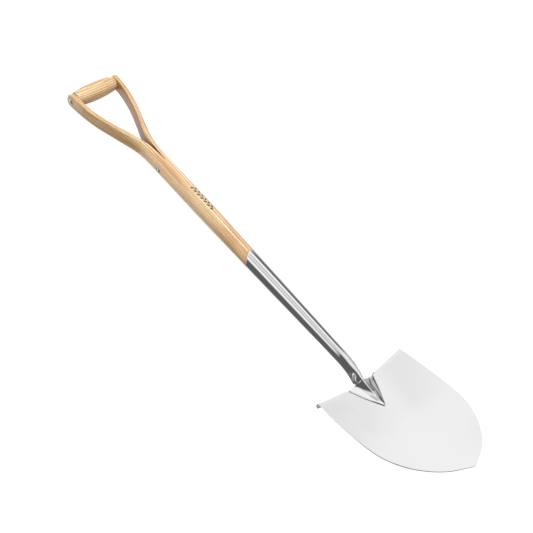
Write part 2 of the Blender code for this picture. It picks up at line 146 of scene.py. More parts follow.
def maths(tree, operation, *values, clamp=False):
    made = add_node(tree, "ShaderNodeMath", operation=operation, use_clamp=clamp)
    for socket, value in zip(made.inputs, values):
        feed(tree, socket, value)
    return made.outputs[0]


def times(tree, first, second, clamp=False):
    return maths(tree, "MULTIPLY", first, second, clamp=clamp)


def plus(tree, first, second):
    return maths(tree, "ADD", first, second)


def minus(tree, first, second):
    return maths(tree, "SUBTRACT", first, second)


def times_plus(tree, first, second, added, clamp=False):
    return maths(tree, "MULTIPLY_ADD", first, second, added, clamp=clamp)


def axes_of(tree, vector):
    """A position or direction as three numbers, named X, Y and Z."""
    made = add_node(tree, "ShaderNodeSeparateXYZ")
    feed(tree, made.inputs[0], vector)
    return made.outputs


def noise(tree, where, cells, detail=2.0, roughness=0.5, shift=(0.0, 0.0, 0.0)):
    """Noise from 0 to 1, with so many cells to the metre along each axis."""
    place = add_node(tree, "ShaderNodeVectorMath", operation="MULTIPLY_ADD")
    for socket, value in zip(place.inputs, (where, cells, shift)):
        feed(tree, socket, value)
    made = add_node(tree, "ShaderNodeTexNoise")
    feed_all(tree, made, Vector=place.outputs[0], Scale=1.0, Detail=detail, Roughness=roughness)
    return made.outputs[0]


def spread(tree, value, from_low, from_high, to_low=0.0, to_high=1.0, kind="SMOOTHSTEP"):
    """Carries a value from one range to another, held at both ends."""
    made = add_node(tree, "ShaderNodeMapRange", interpolation_type=kind, clamp=True)
    feed_all(tree, made, Value=value, From_Min=from_low, From_Max=from_high, To_Min=to_low,
             To_Max=to_high)
    return made.outputs[0]


def mix(tree, share, first, second):
    made = add_node(tree, "ShaderNodeMix", data_type="RGBA")
    return feed_all(tree, made, Factor=share, A=first, B=second).outputs["Result"]


def linear(level):
    """A display level from 0 to 255 as linear light."""
    value = level / 255
    return value / 12.92 if value <= 0.04045 else ((value + 0.055) / 1.055) ** 2.4


def colour(red, green, blue):
    return (linear(red), linear(green), linear(blue), 1.0)


# %% [markdown]
# ## The studio
#
# Polished steel has no colour of its own: it shows the room. So the room is built with care. A
# bank of long lights hangs over the spade with dark gaps between them, and they run along it, so
# a round tube mirrors them as stripes. Beyond the grip stands one tall white wall, which the
# blade mirrors. The room is drawn as one function of direction: the angle round the shaft picks
# a lamp or a gap, and how far a ray points towards the grip picks between the darker near side,
# the bank and the wall. Wood and paper are lit by plain daylight that comes mostly from the
# right, so that the shaft has a light and a shaded side. A camera ray sees only white paper.
#
# Everything overhead is one of three things, each with one display level: a lamp, the ceiling or
# a dark gap. Each is written at its angle from straight up, in degrees towards the right. The
# wall's parts are written as ranges: where each starts, where it is full, and
# what it goes from and to.

# %% Lamps and gaps round the shaft
LAMP = 245
CEILING = 190
DARK = 90
STRIPS = ((-180, CEILING), (-150, DARK), (-75, DARK), (-60, LAMP), (-45, LAMP),
          (-35, CEILING), (-25, CEILING), (-15, LAMP), (-5, CEILING), (5, CEILING), (15, LAMP),
          (30, LAMP), (45, DARK), (65, DARK), (85, CEILING), (120, LAMP), (160, LAMP),
          (180, CEILING))
NEAR_SIDE = ((-180, DARK), (-20, DARK), (-5, LAMP), (5, CEILING), (15, LAMP), (30, LAMP),
             (45, CEILING), (120, CEILING), (180, DARK))
STEEL_SHARE = 0.93
BANK = (0.17, 0.26)
WALL = (0.327, 0.345)
SKIRTING = (0.89, 0.95, 0.97, 0.12)
DOOR_SILL = (0.450, 0.480)
DOOR_HEAD = (0.505, 0.540, 1.0, 0.0)
DOOR_SIDE = (0.25, 0.50, 0.28, 0.0)
CURTAIN_TOP = (0.365, 0.400, 0.45, 0.0)
CURTAIN_SIDE = (0.45, 0.60)
DAYLIGHT = (-0.9, 0.9, 0.46, 0.66)
PAPER = (0.98, 0.98, 0.98, 1.0)


def round_the_shaft(tree, direction, levels):
    """Brightness by the angle round the shaft, from straight up towards the right."""
    angle = maths(tree, "ARCTAN2", direction["X"], direction["Z"])
    lamps = add_node(tree, "ShaderNodeValToRGB")
    feed(tree, lamps.inputs[0], spread(tree, angle, -math.pi, math.pi, kind="LINEAR"))
    stops = lamps.color_ramp.elements
    stops.remove(stops[1])
    for count, (degrees, level) in enumerate(levels):
        position = (degrees + 180) / 360
        stop = stops.new(position) if count else stops[0]
        stop.position = position
        stop.color = (linear(level) / STEEL_SHARE,) * 3 + (1.0,)
    return lamps.outputs["Color"]


def white_wall(tree, direction):
    """A grey curtain low on the right, a paler door above and left of it, a dark skirting."""
    door = times(tree, spread(tree, direction["Y"], *DOOR_SILL),
                 spread(tree, direction["Y"], *DOOR_HEAD))
    door = times(tree, door, spread(tree, direction["X"], *DOOR_SIDE))
    curtain = times(tree, spread(tree, direction["Y"], *CURTAIN_TOP),
                    spread(tree, direction["X"], *CURTAIN_SIDE))
    lit_share = minus(tree, 1.0, plus(tree, door, curtain))
    return times(tree, spread(tree, direction["Y"], *SKIRTING), lit_share)


def make_room():
    room = bpy.data.worlds.new("studio")
    bpy.context.scene.world = room
    room.use_nodes = True
    tree = room.node_tree
    tree.nodes.clear()
    direction = axes_of(tree, add_node(tree, "ShaderNodeTexCoord").outputs["Generated"])
    overhead = mix(tree, spread(tree, direction["Y"], *BANK),
                   round_the_shaft(tree, direction, NEAR_SIDE),
                   round_the_shaft(tree, direction, STRIPS))
    mirrored = mix(tree, spread(tree, direction["Y"], *WALL), overhead,
                   white_wall(tree, direction))
    path = add_node(tree, "ShaderNodeLightPath").outputs
    daylight = spread(tree, direction["X"], *DAYLIGHT)
    lit = mix(tree, path["Is Glossy Ray"], daylight, mirrored)
    light = add_node(tree, "ShaderNodeBackground")
    feed(tree, light.inputs["Color"], mix(tree, path["Is Camera Ray"], lit, PAPER))
    feed(tree, add_node(tree, "ShaderNodeOutputWorld").inputs[0], light.outputs[0])


make_room()
bpy.context.scene.view_settings.view_transform = "Standard"
print("studio with", len(STRIPS) + len(NEAR_SIDE), "levels round the shaft")

# %% [markdown]
# ## Floor and lamps
#
# The floor is pale paper on a light table: to the camera it glows a little, which drowns the
# shadows. To the spade it is a greyer sheet, so it doesn't light the wood from below. Steel this
# bright would show the floor as one white sheet, so the floor is kept out of mirror images. Two
# soft round lamps, also kept out of mirror images, do for the wood what the bank of lights does
# for the steel.

# %% Floor and lamps
FLOOR_SIZE = 30.0
PAPER_FIBRES = ((300.0, 300.0, 300.0), 3.0)
FIBRE_LOW = colour(246, 246, 246)
FIBRE_HIGH = colour(251, 251, 251)
PAPER_ROUGHNESS = 0.95
PAPER_SHINE = 0.2
PAPER_TO_SPADE = colour(190, 188, 184)
TABLE_GLOW = 0.75
LAMPS = (("key_lamp", (0.4, 1.2, 2.9), 1.6, 48.0), ("fill_lamp", (-1.8, -0.8, 2.6), 2.2, 12.0))


def make_floor():
    bpy.ops.object.select_all(action="DESELECT")
    bpy.ops.mesh.primitive_plane_add(size=FLOOR_SIZE, location=(0.0, 0.0, 0.0))
    floor = bpy.context.active_object
    floor.name = "floor"
    paper = bpy.data.materials.new("floor_paper")
    paper.use_nodes = True
    tree = paper.node_tree
    place = add_node(tree, "ShaderNodeTexCoord").outputs["Object"]
    fibre = noise(tree, place, *PAPER_FIBRES)
    seen = add_node(tree, "ShaderNodeLightPath").outputs["Is Camera Ray"]
    white = mix(tree, seen, PAPER_TO_SPADE, mix(tree, fibre, FIBRE_LOW, FIBRE_HIGH))
    feed_all(tree, tree.nodes["Principled BSDF"], Base_Color=white,
             Roughness=PAPER_ROUGHNESS, Specular_IOR_Level=PAPER_SHINE,
             Emission_Color=(1.0, 1.0, 1.0, 1.0),
             Emission_Strength=times(tree, seen, TABLE_GLOW))
    floor.data.materials.append(paper)
    floor.visible_glossy = False


def make_lamp(name, place, size, power):
    bpy.ops.object.select_all(action="DESELECT")
    bpy.ops.object.light_add(type="AREA", location=place)
    lamp = bpy.context.active_object
    lamp.name = name
    lamp.data.shape = "DISK"
    lamp.data.size = size
    lamp.data.energy = power
    lamp.rotation_euler = Vector(place).to_track_quat("Z", "Y").to_euler()
    lamp.visible_glossy = False
    return lamp


make_floor()
for lamp_row in LAMPS:
    make_lamp(*lamp_row)

# %% [markdown]
# ## Working by hand
#
# Blender's operators act on whatever is selected, and the measured pieces arrive selected. So
# each step first deselects everything, then takes up one object. A finished piece has its place
# in its mesh and its object at the origin, like the measured pieces.

# %% Selecting, applying and placing
SMOOTHING_LEVELS = 2
DOUBLES = 0.002 * MM


def take(item):
    bpy.ops.object.select_all(action="DESELECT")
    item.select_set(True)
    bpy.context.view_layer.objects.active = item


def name_new(name):
    """Names the object that an operator has just added."""
    item = bpy.context.active_object
    item.name = name
    item.data.name = name
    return item


def start_edit(item, select="DESELECT", mode="VERT"):
    take(item)
    bpy.ops.object.mode_set(mode="EDIT")
    bpy.ops.mesh.select_mode(type=mode)
    bpy.ops.mesh.select_all(action=select)


def end_edit():
    bpy.ops.object.mode_set(mode="OBJECT")


def apply_modifiers(item):
    take(item)
    for modifier in list(item.modifiers):
        bpy.ops.object.modifier_apply(modifier=modifier.name)


def tidy_skin(item):
    """Welds doubles and turns every face outwards."""
    start_edit(item, select="SELECT")
    bpy.ops.mesh.remove_doubles(threshold=DOUBLES)
    bpy.ops.mesh.normals_make_consistent(inside=False)
    end_edit()


def hold_sharp_edges(item, degrees):
    """Creases the sharp edges, so that subdivision leaves them where they are."""
    start_edit(item, mode="EDGE")
    bpy.ops.mesh.edges_select_sharp(sharpness=math.radians(degrees))
    bpy.ops.transform.edge_crease(value=1.0)
    end_edit()


def subdivide(item):
    modifier = item.modifiers.new("subdivision", "SUBSURF")
    modifier.levels = SMOOTHING_LEVELS
    modifier.render_levels = SMOOTHING_LEVELS
    apply_modifiers(item)


def round_edges(item, width, segments=2, degrees=40):
    modifier = item.modifiers.new("rounded_edges", "BEVEL")
    modifier.width = width
    modifier.segments = segments
    modifier.limit_method = "ANGLE"
    modifier.angle_limit = math.radians(degrees)
    apply_modifiers(item)


def finish_piece(item, stands_for, smooth_degrees=32):
    """Carries a piece from the shaft's own axes to its place on the spade, and applies it."""
    item.matrix_world = SHAFT_FRAME @ item.matrix_world
    take(item)
    bpy.ops.object.transform_apply(location=True, rotation=True, scale=True)
    bpy.ops.object.shade_smooth_by_angle(angle=math.radians(smooth_degrees))
    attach(item, "root")
    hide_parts(stands_for)
    print(item.name, "has", len(item.data.polygons), "faces")


# %% [markdown]
# ## Curves through a few measures
#
# A tapered or bent part is described as a craftsperson would write it down: at this station,
# this many millimetres. A smooth curve through those few measures, which never swings past them,
# gives every size in between.

# %% Reading a table of measures
def between(table, station):
    stations = [row[0] for row in table]
    values = [row[1] for row in table]
    if station <= stations[0]:
        return values[0] * MM
    if station >= stations[-1]:
        return values[-1] * MM
    slopes = [(values[i + 1] - values[i]) / (stations[i + 1] - stations[i])
              for i in range(len(table) - 1)]
    tangents = [slopes[0]]
    for before, after in zip(slopes, slopes[1:]):
        turns = before * after <= 0
        tangents.append(0.0 if turns else 2 * before * after / (before + after))
    tangents.append(slopes[-1])
    i = max(k for k in range(len(table) - 1) if stations[k] <= station)
    width = stations[i + 1] - stations[i]
    t = (station - stations[i]) / width
    value = values[i] * (1 + 2 * t) * (1 - t) ** 2 + width * tangents[i] * t * (1 - t) ** 2
    value += values[i + 1] * t * t * (3 - 2 * t) + width * tangents[i + 1] * t * t * (t - 1)
    return value * MM


def ease(t):
    t = min(max(t, 0.0), 1.0)
    return t * t * (3 - 2 * t)


def lerp(first, second, t):
    return first + (second - first) * t


# %% [markdown]
# ## Skins from sections
#
# The shaft and the socket change their section all the way: round, then flat on one side, then
# square with soft corners; or a tube, then a ridge with two wings. No primitive gives that, so
# these two are skinned from sections, as a boat is planked over its frames. Every section has
# the same number of points, and neighbours are joined by four-sided faces.

# %% Skinning sections
def join_rings(work, first, second):
    count = len(first)
    for i in range(count):
        j = (i + 1) % count
        work.faces.new((first[i], first[j], second[j], second[i]))


def add_ring(work, points):
    return [work.verts.new(point) for point in points]


def skin(work, ring, sections):
    """Joins a ring to each section in turn, and closes the last one."""
    for points in sections:
        following = add_ring(work, points)
        join_rings(work, ring, following)
        ring = following
    work.faces.new(ring)


def object_from(work, name):
    mesh = bpy.data.meshes.new(name)
    work.to_mesh(mesh)
    work.free()
    item = bpy.data.objects.new(name, mesh)
    bpy.context.scene.collection.objects.link(item)
    tidy_skin(item)
    return item


# %% [markdown]
# ## Boring holes
#
# Each hole is bored as at the bench: a drill of the right size is placed across the work, and
# what it touches is cut away. The drill is a cylinder and goes once it has cut.

# %% A drill
DRILL_SIDES = 48


def bore(item, station, radius, near, far, turn=(0.0, math.pi / 2, 0.0), axis=(1.0, 0.0, 0.0)):
    """Cuts a round hole across the shaft between two distances from its axis."""
    bpy.ops.object.select_all(action="DESELECT")
    middle = Vector(axis) * (near + far) / 2 + Vector((0.0, -station, 0.0))
    bpy.ops.mesh.primitive_cylinder_add(vertices=DRILL_SIDES, radius=radius,
                                        depth=abs(far - near), location=middle, rotation=turn)
    drill = bpy.context.active_object
    cut = item.modifiers.new("bore", "BOOLEAN")
    cut.operation = "DIFFERENCE"
    cut.solver = "EXACT"
    cut.object = drill
    apply_modifiers(item)
    bpy.data.objects.remove(drill, do_unlink=True)


# %% [markdown]
# ## The shaft's measures
#
# The shaft is one length of ash. Its upper end is sawn down the middle, steamed, and the two
# halves are bent apart over a form to make the arms of the handle. The arms are half round near
# the split and grow squarer towards the grip. Below the middle the shaft tapers, and a thinner
# tenon fills the socket.

# %% Measures of the shaft
ARM_OUTER = ((0.000, 60.0), (0.037, 56.2), (0.078, 47.0), (0.105, 37.0), (0.122, 31.0),
             (0.140, 25.0), (0.160, 20.4), (0.185, 18.5), (0.221, 18.4))
ARM_INNER = ((0.000, 48.0), (0.014, 48.0), (0.035, 45.4), (0.055, 41.2), (0.078, 34.6),
             (0.105, 25.0), (0.122, 18.2), (0.140, 10.8), (0.155, 6.0), (0.175, 2.7),
             (0.200, 1.1), (0.221, 0.0))
ARM_HALF_DEPTH = ((0.000, 14.3), (0.060, 13.8), (0.110, 14.4), (0.150, 16.2), (0.185, 18.0),
                  (0.221, 18.4))
ARM_CORNER_POWER = 5.0
ARM_END_ROUNDING = 0.45
ARM_STATIONS = (0.212, 0.200, 0.188, 0.176, 0.164, 0.152, 0.140, 0.127, 0.113, 0.098, 0.082,
                0.066, 0.050, 0.034, 0.018, 0.006)
ARM_END_DEGREES = (0.1, 22, 42, 58, 70, 80)
SQUARING_START = 0.196
SQUARING_LENGTH = 0.075
SPLIT_END = 0.221
SHAFT_RADIUS = ((0.221, 18.4), (0.360, 18.4), (0.400, 18.0), (0.440, 17.3), (0.480, 16.7))
LOG_STATIONS = (0.240, 0.270, 0.300, 0.330, 0.360, 0.380, 0.400, 0.420, 0.440, 0.460)
TENON_STATIONS = (0.520, 0.560, 0.610, 0.660, 0.700, 0.742)
TENON_END = 0.746
END_CHAMFER = 3.0 * MM
GRIP_END_RADIUS = 14.3 * MM
HALF_RING = 16
INNER_POINTS = 5

RIM_STATION = 0.480
RIM_SCALLOP = 0.014
SOCKET_RADIUS = ((0.480, 16.9), (0.520, 16.5), (0.560, 16.0), (0.610, 15.0), (0.660, 14.2),
                 (0.700, 13.3), (0.740, 12.8), (0.760, 12.4), (0.800, 12.4))
SOCKET_WALL = 1.5 * MM
TOUCH_GAP = 0.3 * MM
print("arms", round(between(ARM_OUTER, 0.0) * 2 / MM, 1), "mm wide at the grip")

# %% [markdown]
# ## Skinning the shaft
#
# A section of an arm is drawn in two ways, half round and square, and mixed by how far up the
# arm it is. At the end of the split the two arms' sections share the points of one whole ring,
# so the wood forks without a seam. Above the grip's axis each arm is rounded over by sections
# that shrink round that axis.

# %% Sections of the shaft
def rim_station(angle):
    """The rim of the socket reaches further up at the front and back than at the sides."""
    return RIM_STATION + RIM_SCALLOP * math.sin(angle) ** 2


def half_round(side, station_at, radius):
    angles = [math.pi * i / HALF_RING for i in range(HALF_RING + 1)]
    return [Vector((side * radius * math.sin(a), -station_at(a), radius * math.cos(a)))
            for a in angles]


def arm_section(side, station, squareness, end_angle=0.0):
    outer = between(ARM_OUTER, station)
    inner = between(ARM_INNER, station)
    depth = between(ARM_HALF_DEPTH, station)
    y = -station
    if end_angle:
        shrink = math.cos(end_angle)
        y = GRIP_END_RADIUS * math.sin(end_angle)
        outer -= (outer - inner) * ARM_END_ROUNDING * (1 - shrink) ** 2
        depth *= shrink
    middle = (outer + inner) / 2
    power = 2 / ARM_CORNER_POWER
    points = []
    for i in range(HALF_RING + 1 + INNER_POINTS):
        angle = math.pi * i / HALF_RING
        half_round_x = inner + (outer - inner) * math.sin(angle)
        half_round_z = depth * math.cos(angle)
        if i > HALF_RING:
            share = (i - HALF_RING) / (INNER_POINTS + 1)
            angle = math.pi * (1 + share)
            half_round_x = inner
            half_round_z = depth * (2 * share - 1)
        sine, cosine = math.sin(angle), math.cos(angle)
        square_x = middle + (outer - middle) * math.copysign(abs(sine) ** power, sine)
        square_z = depth * math.copysign(abs(cosine) ** power, cosine)
        points.append(Vector((side * lerp(half_round_x, square_x, squareness), y,
                              lerp(half_round_z, square_z, squareness))))
    return points


def arm_sections(side):
    sections = [arm_section(side, s, ease((SQUARING_START - s) / SQUARING_LENGTH))
                for s in ARM_STATIONS]
    return sections + [arm_section(side, 0.0, 1.0, math.radians(degrees))
                       for degrees in ARM_END_DEGREES]


# %% Skin the shaft and fork it
WOOD_EASING = 0.9 * MM


def whole_ring(station_at, radius):
    right = half_round(1, station_at, radius)
    left = half_round(-1, station_at, radius)
    return right + left[-2:0:-1]


def level(station):
    return lambda angle: station


def shaft_sections():
    fit = SOCKET_WALL + TOUCH_GAP
    shoulder = lambda angle: rim_station(angle) - TOUCH_GAP
    sections = [whole_ring(level(s), between(SHAFT_RADIUS, s)) for s in LOG_STATIONS]
    sections.append(whole_ring(shoulder, between(SHAFT_RADIUS, RIM_STATION)))
    sections.append(whole_ring(shoulder, between(SOCKET_RADIUS, RIM_STATION) - fit))
    sections += [whole_ring(level(s), between(SOCKET_RADIUS, s) - fit) for s in TENON_STATIONS]
    end_radius = between(SOCKET_RADIUS, TENON_END) - fit - END_CHAMFER
    return sections + [whole_ring(level(TENON_END), end_radius)]


def skin_shaft():
    work = bmesh.new()
    fork = add_ring(work, whole_ring(level(SPLIT_END), between(SHAFT_RADIUS, SPLIT_END)))
    skin(work, fork, shaft_sections())
    radius = between(ARM_HALF_DEPTH, SPLIT_END)
    crotch = add_ring(work, [(0.0, -SPLIT_END, radius * (2 * k / (INNER_POINTS + 1) - 1))
                             for k in range(1, INNER_POINTS + 1)])
    skin(work, fork[:HALF_RING + 1] + crotch, arm_sections(1))
    skin(work, [fork[0]] + fork[:HALF_RING - 1:-1] + crotch, arm_sections(-1))
    return object_from(work, "ash_shaft")


ash_shaft = skin_shaft()
hold_sharp_edges(ash_shaft, 42)
subdivide(ash_shaft)
round_edges(ash_shaft, WOOD_EASING, degrees=38)

# %% [markdown]
# The handle's rod and the rivet below the split sit on washers let into the wood, and a pin is
# driven through the back of the socket. Their holes are bored now, with a fine clearance.

# %% Bore the shaft
ROD_RADIUS = 3.0 * MM
ROD_WASHER_RADIUS = 6.2 * MM
SPLIT_RIVET_RADIUS = 2.2 * MM
SPLIT_WASHER_RADIUS = 4.9 * MM
WASHER_THICKNESS = 1.2 * MM
CLEARANCE = 0.4 * MM
PIN_STATION = 0.498
PIN_RADIUS = 2.2 * MM
PIN_DEPTH = 13.0 * MM
PIN_HOLE_MARGIN = 1.0 * MM
DRILL_OVERSHOOT = 5.0 * MM
DRILL_REACH = 80.0 * MM
ROD_SEAT = between(ARM_OUTER, 0.0) - WASHER_THICKNESS - CLEARANCE
SPLIT_SEAT_DEPTH = 2.4 * MM
SPLIT_SEAT = between(SHAFT_RADIUS, SPLIT_RIVET_STATION) - SPLIT_SEAT_DEPTH
PIN_SEAT = between(SOCKET_RADIUS, PIN_STATION)


def bore_pin_hole(item):
    bore(item, PIN_STATION, PIN_RADIUS + CLEARANCE, PIN_DEPTH + PIN_HOLE_MARGIN - PIN_SEAT,
         -PIN_SEAT - DRILL_OVERSHOOT, turn=(0.0, 0.0, 0.0), axis=(0.0, 0.0, 1.0))


def bore_shaft(item):
    bore(item, 0.0, ROD_RADIUS + CLEARANCE, -DRILL_REACH, DRILL_REACH)
    bore(item, SPLIT_RIVET_STATION, SPLIT_RIVET_RADIUS + CLEARANCE, -DRILL_REACH / 2,
         DRILL_REACH / 2)
    for side in (-1, 1):
        bore(item, 0.0, ROD_WASHER_RADIUS + CLEARANCE, side * ROD_SEAT, side * DRILL_REACH)
        bore(item, SPLIT_RIVET_STATION, SPLIT_WASHER_RADIUS + CLEARANCE, side * SPLIT_SEAT,
             side * DRILL_REACH / 2)
    bore_pin_hole(item)


bore_shaft(ash_shaft)
print("bored,", len(ash_shaft.data.polygons), "faces")

# %% [markdown]
# ## Grain that bends with the wood
#
# Steam bending doesn't cut the fibres, so the grain follows each arm round its bend. A pattern
# on plain coordinates would cut straight across. So each corner of the mesh remembers where it
# was in the straight, unsplit log: how far from the saw cut, how far along, and how deep. The
# material reads that position and not the bent one.

# %% Remember the straight log
def remember_log(item, in_log):
    points = item.data.attributes.new("log_place", "FLOAT_VECTOR", "POINT")
    for corner, vertex in zip(points.data, item.data.vertices):
        corner.vector = in_log(vertex.co)


def shaft_in_log(point):
    station = -point.y
    cut = between(ARM_INNER, station) if station < SPLIT_END else 0.0
    from_cut = abs(point.x) - cut
    return (math.copysign(from_cut, point.x), station, point.z)


remember_log(ash_shaft, shaft_in_log)
finish_piece(ash_shaft, "shaft")

# %% [markdown]
# ## Turning on the lathe
#
# The grip, the rod, the rivets, the washers and the pin are all round about one axis. Each is
# turned: one corner of a plane is kept, drawn out along the profile of the piece, and the line is
# spun once round the axis. The profile lists a radius and a distance along the axis.

# %% A lathe
def start_profile(name, first):
    bpy.ops.object.select_all(action="DESELECT")
    bpy.ops.mesh.primitive_plane_add(size=MM, location=(0.0, 0.0, 0.0))
    item = name_new(name)
    start_edit(item, select="SELECT")
    bpy.ops.mesh.merge(type="CENTER")
    bpy.ops.transform.translate(value=(first[0], 0.0, first[1]))
    return item


def turned(name, profile, steps, closed=False):
    item = start_profile(name, profile[0])
    points = list(profile) + ([profile[0]] if closed else [])
    for here, there in zip(points, points[1:]):
        step = (there[0] - here[0], 0.0, there[1] - here[1])
        bpy.ops.mesh.extrude_region_move(TRANSFORM_OT_translate={"value": step})
    bpy.ops.mesh.select_all(action="SELECT")
    bpy.ops.mesh.spin(steps=steps, angle=2 * math.pi, center=(0.0, 0.0, 0.0),
                      axis=(0.0, 0.0, 1.0))
    end_edit()
    tidy_skin(item)
    return item


def lay(item, station, turn=math.pi / 2, axis="Y", aside=0.0):
    """Puts a piece at its station, turned so that its own axis lies across the shaft."""
    turned_over = Matrix.Rotation(turn, 4, axis)
    item.matrix_world = Matrix.Translation((aside, -station, 0.0)) @ turned_over


# %% [markdown]
# ## The grip
#
# The grip is a barrel of ash, fattest in the middle, bored through for the rod. Its two ends are
# flat and sit against the arms, with their rims eased so that they don't chip. Its grain runs
# along the barrel, so its log lies across the spade. It comes from another part of the log, a
# metre further on, so it doesn't repeat the pattern of the arms.

# %% Turn the grip
GRIP_HALF_LENGTH = 47.7 * MM
GRIP_MIDDLE_RADIUS = 18.5 * MM
GRIP_STEPS = 96
GRIP_POINTS = 24
GRIP_LOG_PLACE = (9 * MM, 1.0, 21 * MM)


def grip_profile():
    points = []
    for i in range(GRIP_POINTS + 1):
        x = GRIP_HALF_LENGTH * (1 - 2 * i / GRIP_POINTS)
        share = (x / GRIP_HALF_LENGTH) ** 2
        points.append((lerp(GRIP_MIDDLE_RADIUS, GRIP_END_RADIUS, share), x))
    hole = ROD_RADIUS + CLEARANCE
    return points + [(hole, -GRIP_HALF_LENGTH), (hole, GRIP_HALF_LENGTH)]


def grip_in_log(point):
    across, along, deep = GRIP_LOG_PLACE
    return (across - point.x, along + point.z, deep + point.y)


ash_grip = turned("ash_grip", grip_profile(), GRIP_STEPS, closed=True)
round_edges(ash_grip, WOOD_EASING, segments=3)
remember_log(ash_grip, grip_in_log)
lay(ash_grip, 0.0)
finish_piece(ash_grip, "grip")

# %% [markdown]
# ## Rod, rivets and washers
#
# A steel rod runs through the grip and both arms, and its ends are hammered over washers into
# low domes. A smaller rivet does the same below the split, where it stops the split from running
# on. A hammered head isn't a ball: it has a small flat on top and a soft rim.

# %% Hammered heads
RIVET_STEPS = 48
HEAD_POINTS = 6
HEAD_FLAT = 0.28
HEAD_CROWN = 0.75
HEAD_UNDERCUT = 0.97
ROD_HEAD_RADIUS = 4.2 * MM
ROD_HEAD_HEIGHT = 1.6 * MM
SPLIT_HEAD_RADIUS = 3.6 * MM
SPLIT_HEAD_HEIGHT = 1.4 * MM
PIN_HEAD_RADIUS = 4.2 * MM
PIN_HEAD_HEIGHT = 1.8 * MM


def head_profile(radius, base, height):
    """From the middle of the flat on top down to the rim."""
    points = [(0.0, base + height)]
    for i in range(HEAD_POINTS + 1):
        angle = math.pi / 2 * i / HEAD_POINTS
        points.append((radius * lerp(HEAD_FLAT, 1.0, math.sin(angle)),
                       base + height * (1 - HEAD_CROWN + HEAD_CROWN * math.cos(angle))))
    points.append((radius * HEAD_UNDERCUT, base))
    return points


def make_rivet(name, stands_for, station, radius, washer_seat, head_radius, height):
    seat = washer_seat + WASHER_THICKNESS + 2 * TOUCH_GAP
    right = head_profile(head_radius, seat, height)
    left = [(r, -x) for r, x in reversed(right)]
    rivet = turned(name, right + [(radius, seat), (radius, -seat)] + left, RIVET_STEPS)
    lay(rivet, station)
    finish_piece(rivet, stands_for)
    return rivet


handle_rod = make_rivet("handle_rod", "grip_rod", 0.0, ROD_RADIUS, ROD_SEAT, ROD_HEAD_RADIUS,
                        ROD_HEAD_HEIGHT)
fork_rivet = make_rivet("fork_rivet", "split_rivet", SPLIT_RIVET_STATION, SPLIT_RIVET_RADIUS,
                        SPLIT_SEAT, SPLIT_HEAD_RADIUS, SPLIT_HEAD_HEIGHT)

# %% [markdown]
# The pin holds the socket on the tenon. Its head stands on the back of the socket, out of the
# gardener's way, and its shank ends in a point.

# %% The pin
def make_pin():
    seat = PIN_SEAT + TOUCH_GAP
    tip = seat - PIN_DEPTH
    profile = head_profile(PIN_HEAD_RADIUS, seat, PIN_HEAD_HEIGHT)
    profile += [(PIN_RADIUS, seat), (PIN_RADIUS, tip + PIN_RADIUS), (0.0, tip)]
    pin = turned("socket_back_pin", profile, RIVET_STEPS)
    lay(pin, PIN_STATION, math.pi, "X")
    finish_piece(pin, "socket_pin")
    return pin


socket_back_pin = make_pin()

# %% [markdown]
# One washer of each size is turned and eased at its rims, and copied to its two places. Each copy
# has its own mesh, and the pattern goes.

# %% Washers
WASHER_EASING = 0.25 * MM


def make_washer(name, hole, radius):
    half = WASHER_THICKNESS / 2
    washer = turned(name, [(hole, half), (radius, half), (radius, -half), (hole, -half)],
                    RIVET_STEPS, closed=True)
    round_edges(washer, WASHER_EASING)
    return washer


def place_washers(name, stands_for, station, rivet_radius, radius, seat):
    pattern = make_washer(name, rivet_radius + CLEARANCE, radius)
    middle = seat + TOUCH_GAP + WASHER_THICKNESS / 2
    placed = []
    for side, word in ((-1, "left"), (1, "right")):
        washer = pattern.copy()
        washer.data = pattern.data.copy()
        washer.name = name + "_" + word
        bpy.context.scene.collection.objects.link(washer)
        lay(washer, station, aside=side * middle)
        finish_piece(washer, stands_for + "_washer_" + word)
        placed.append(washer)
    bpy.data.objects.remove(pattern, do_unlink=True)
    return placed


washers = place_washers("rod_washer", "grip_rod", 0.0, ROD_RADIUS, ROD_WASHER_RADIUS, ROD_SEAT)
washers += place_washers("fork_washer", "split_rivet", SPLIT_RIVET_STATION, SPLIT_RIVET_RADIUS,
                         SPLIT_WASHER_RADIUS, SPLIT_SEAT)

# %% [markdown]
# ## The blade's measures
#
# The blade is one sheet of stainless steel with a rounded point. It is pressed to a shallow dish,
# its tip stands higher than its corners, and on each side of the shaft the top edge is rolled
# back to make a tread for the boot.

# %% Measures of the blade
BLADE_TOP = 0.7959
BLADE_TIP = 1.0665
BLADE_HALF_WIDTH = ((0.0, 107.8), (0.2, 112.2), (0.4, 113.5), (0.55, 110.4), (0.7, 96.6),
                    (0.82, 74.2), (0.92, 43.8), (1.0, 0.0))
CORNER_HEIGHT = 2.2 * MM
TIP_LIFT = 69.1 * MM
EDGE_SAG = 4.1 * MM
CURVE_TOP = 1.57
CURVE_GAIN = 0.45
CURVE_GAIN_END = 0.6
SHEET = 1.6 * MM
SIDE_SHARE = 0.70
POINT_POWER = 1.6
TREAD_INNER = 38.0 * MM
TREAD_DIP = 5.1 * MM
TREAD_LEAN = math.radians(11)
TREAD_RADIUS = 4.0 * MM
TREAD_FLAT = 6.0 * MM
TREAD_END = math.radians(190)
TREAD_LIP = 1.5 * MM
TREAD_RISE = TREAD_RADIUS * (1 - math.sin(TREAD_LEAN))


def blade_share(station):
    return (station - BLADE_TOP) / (BLADE_TIP - BLADE_TOP)


def half_width(share):
    return between(BLADE_HALF_WIDTH, share)


def face_height(x, station):
    """The height of the dished face above the shaft's axis."""
    share = blade_share(station)
    rim = CORNER_HEIGHT + TIP_LIFT * share - EDGE_SAG * 4 * share * (1 - share)
    curve = CURVE_TOP + CURVE_GAIN * ease(share / CURVE_GAIN_END)
    return rim - curve * (half_width(share) ** 2 - x * x)


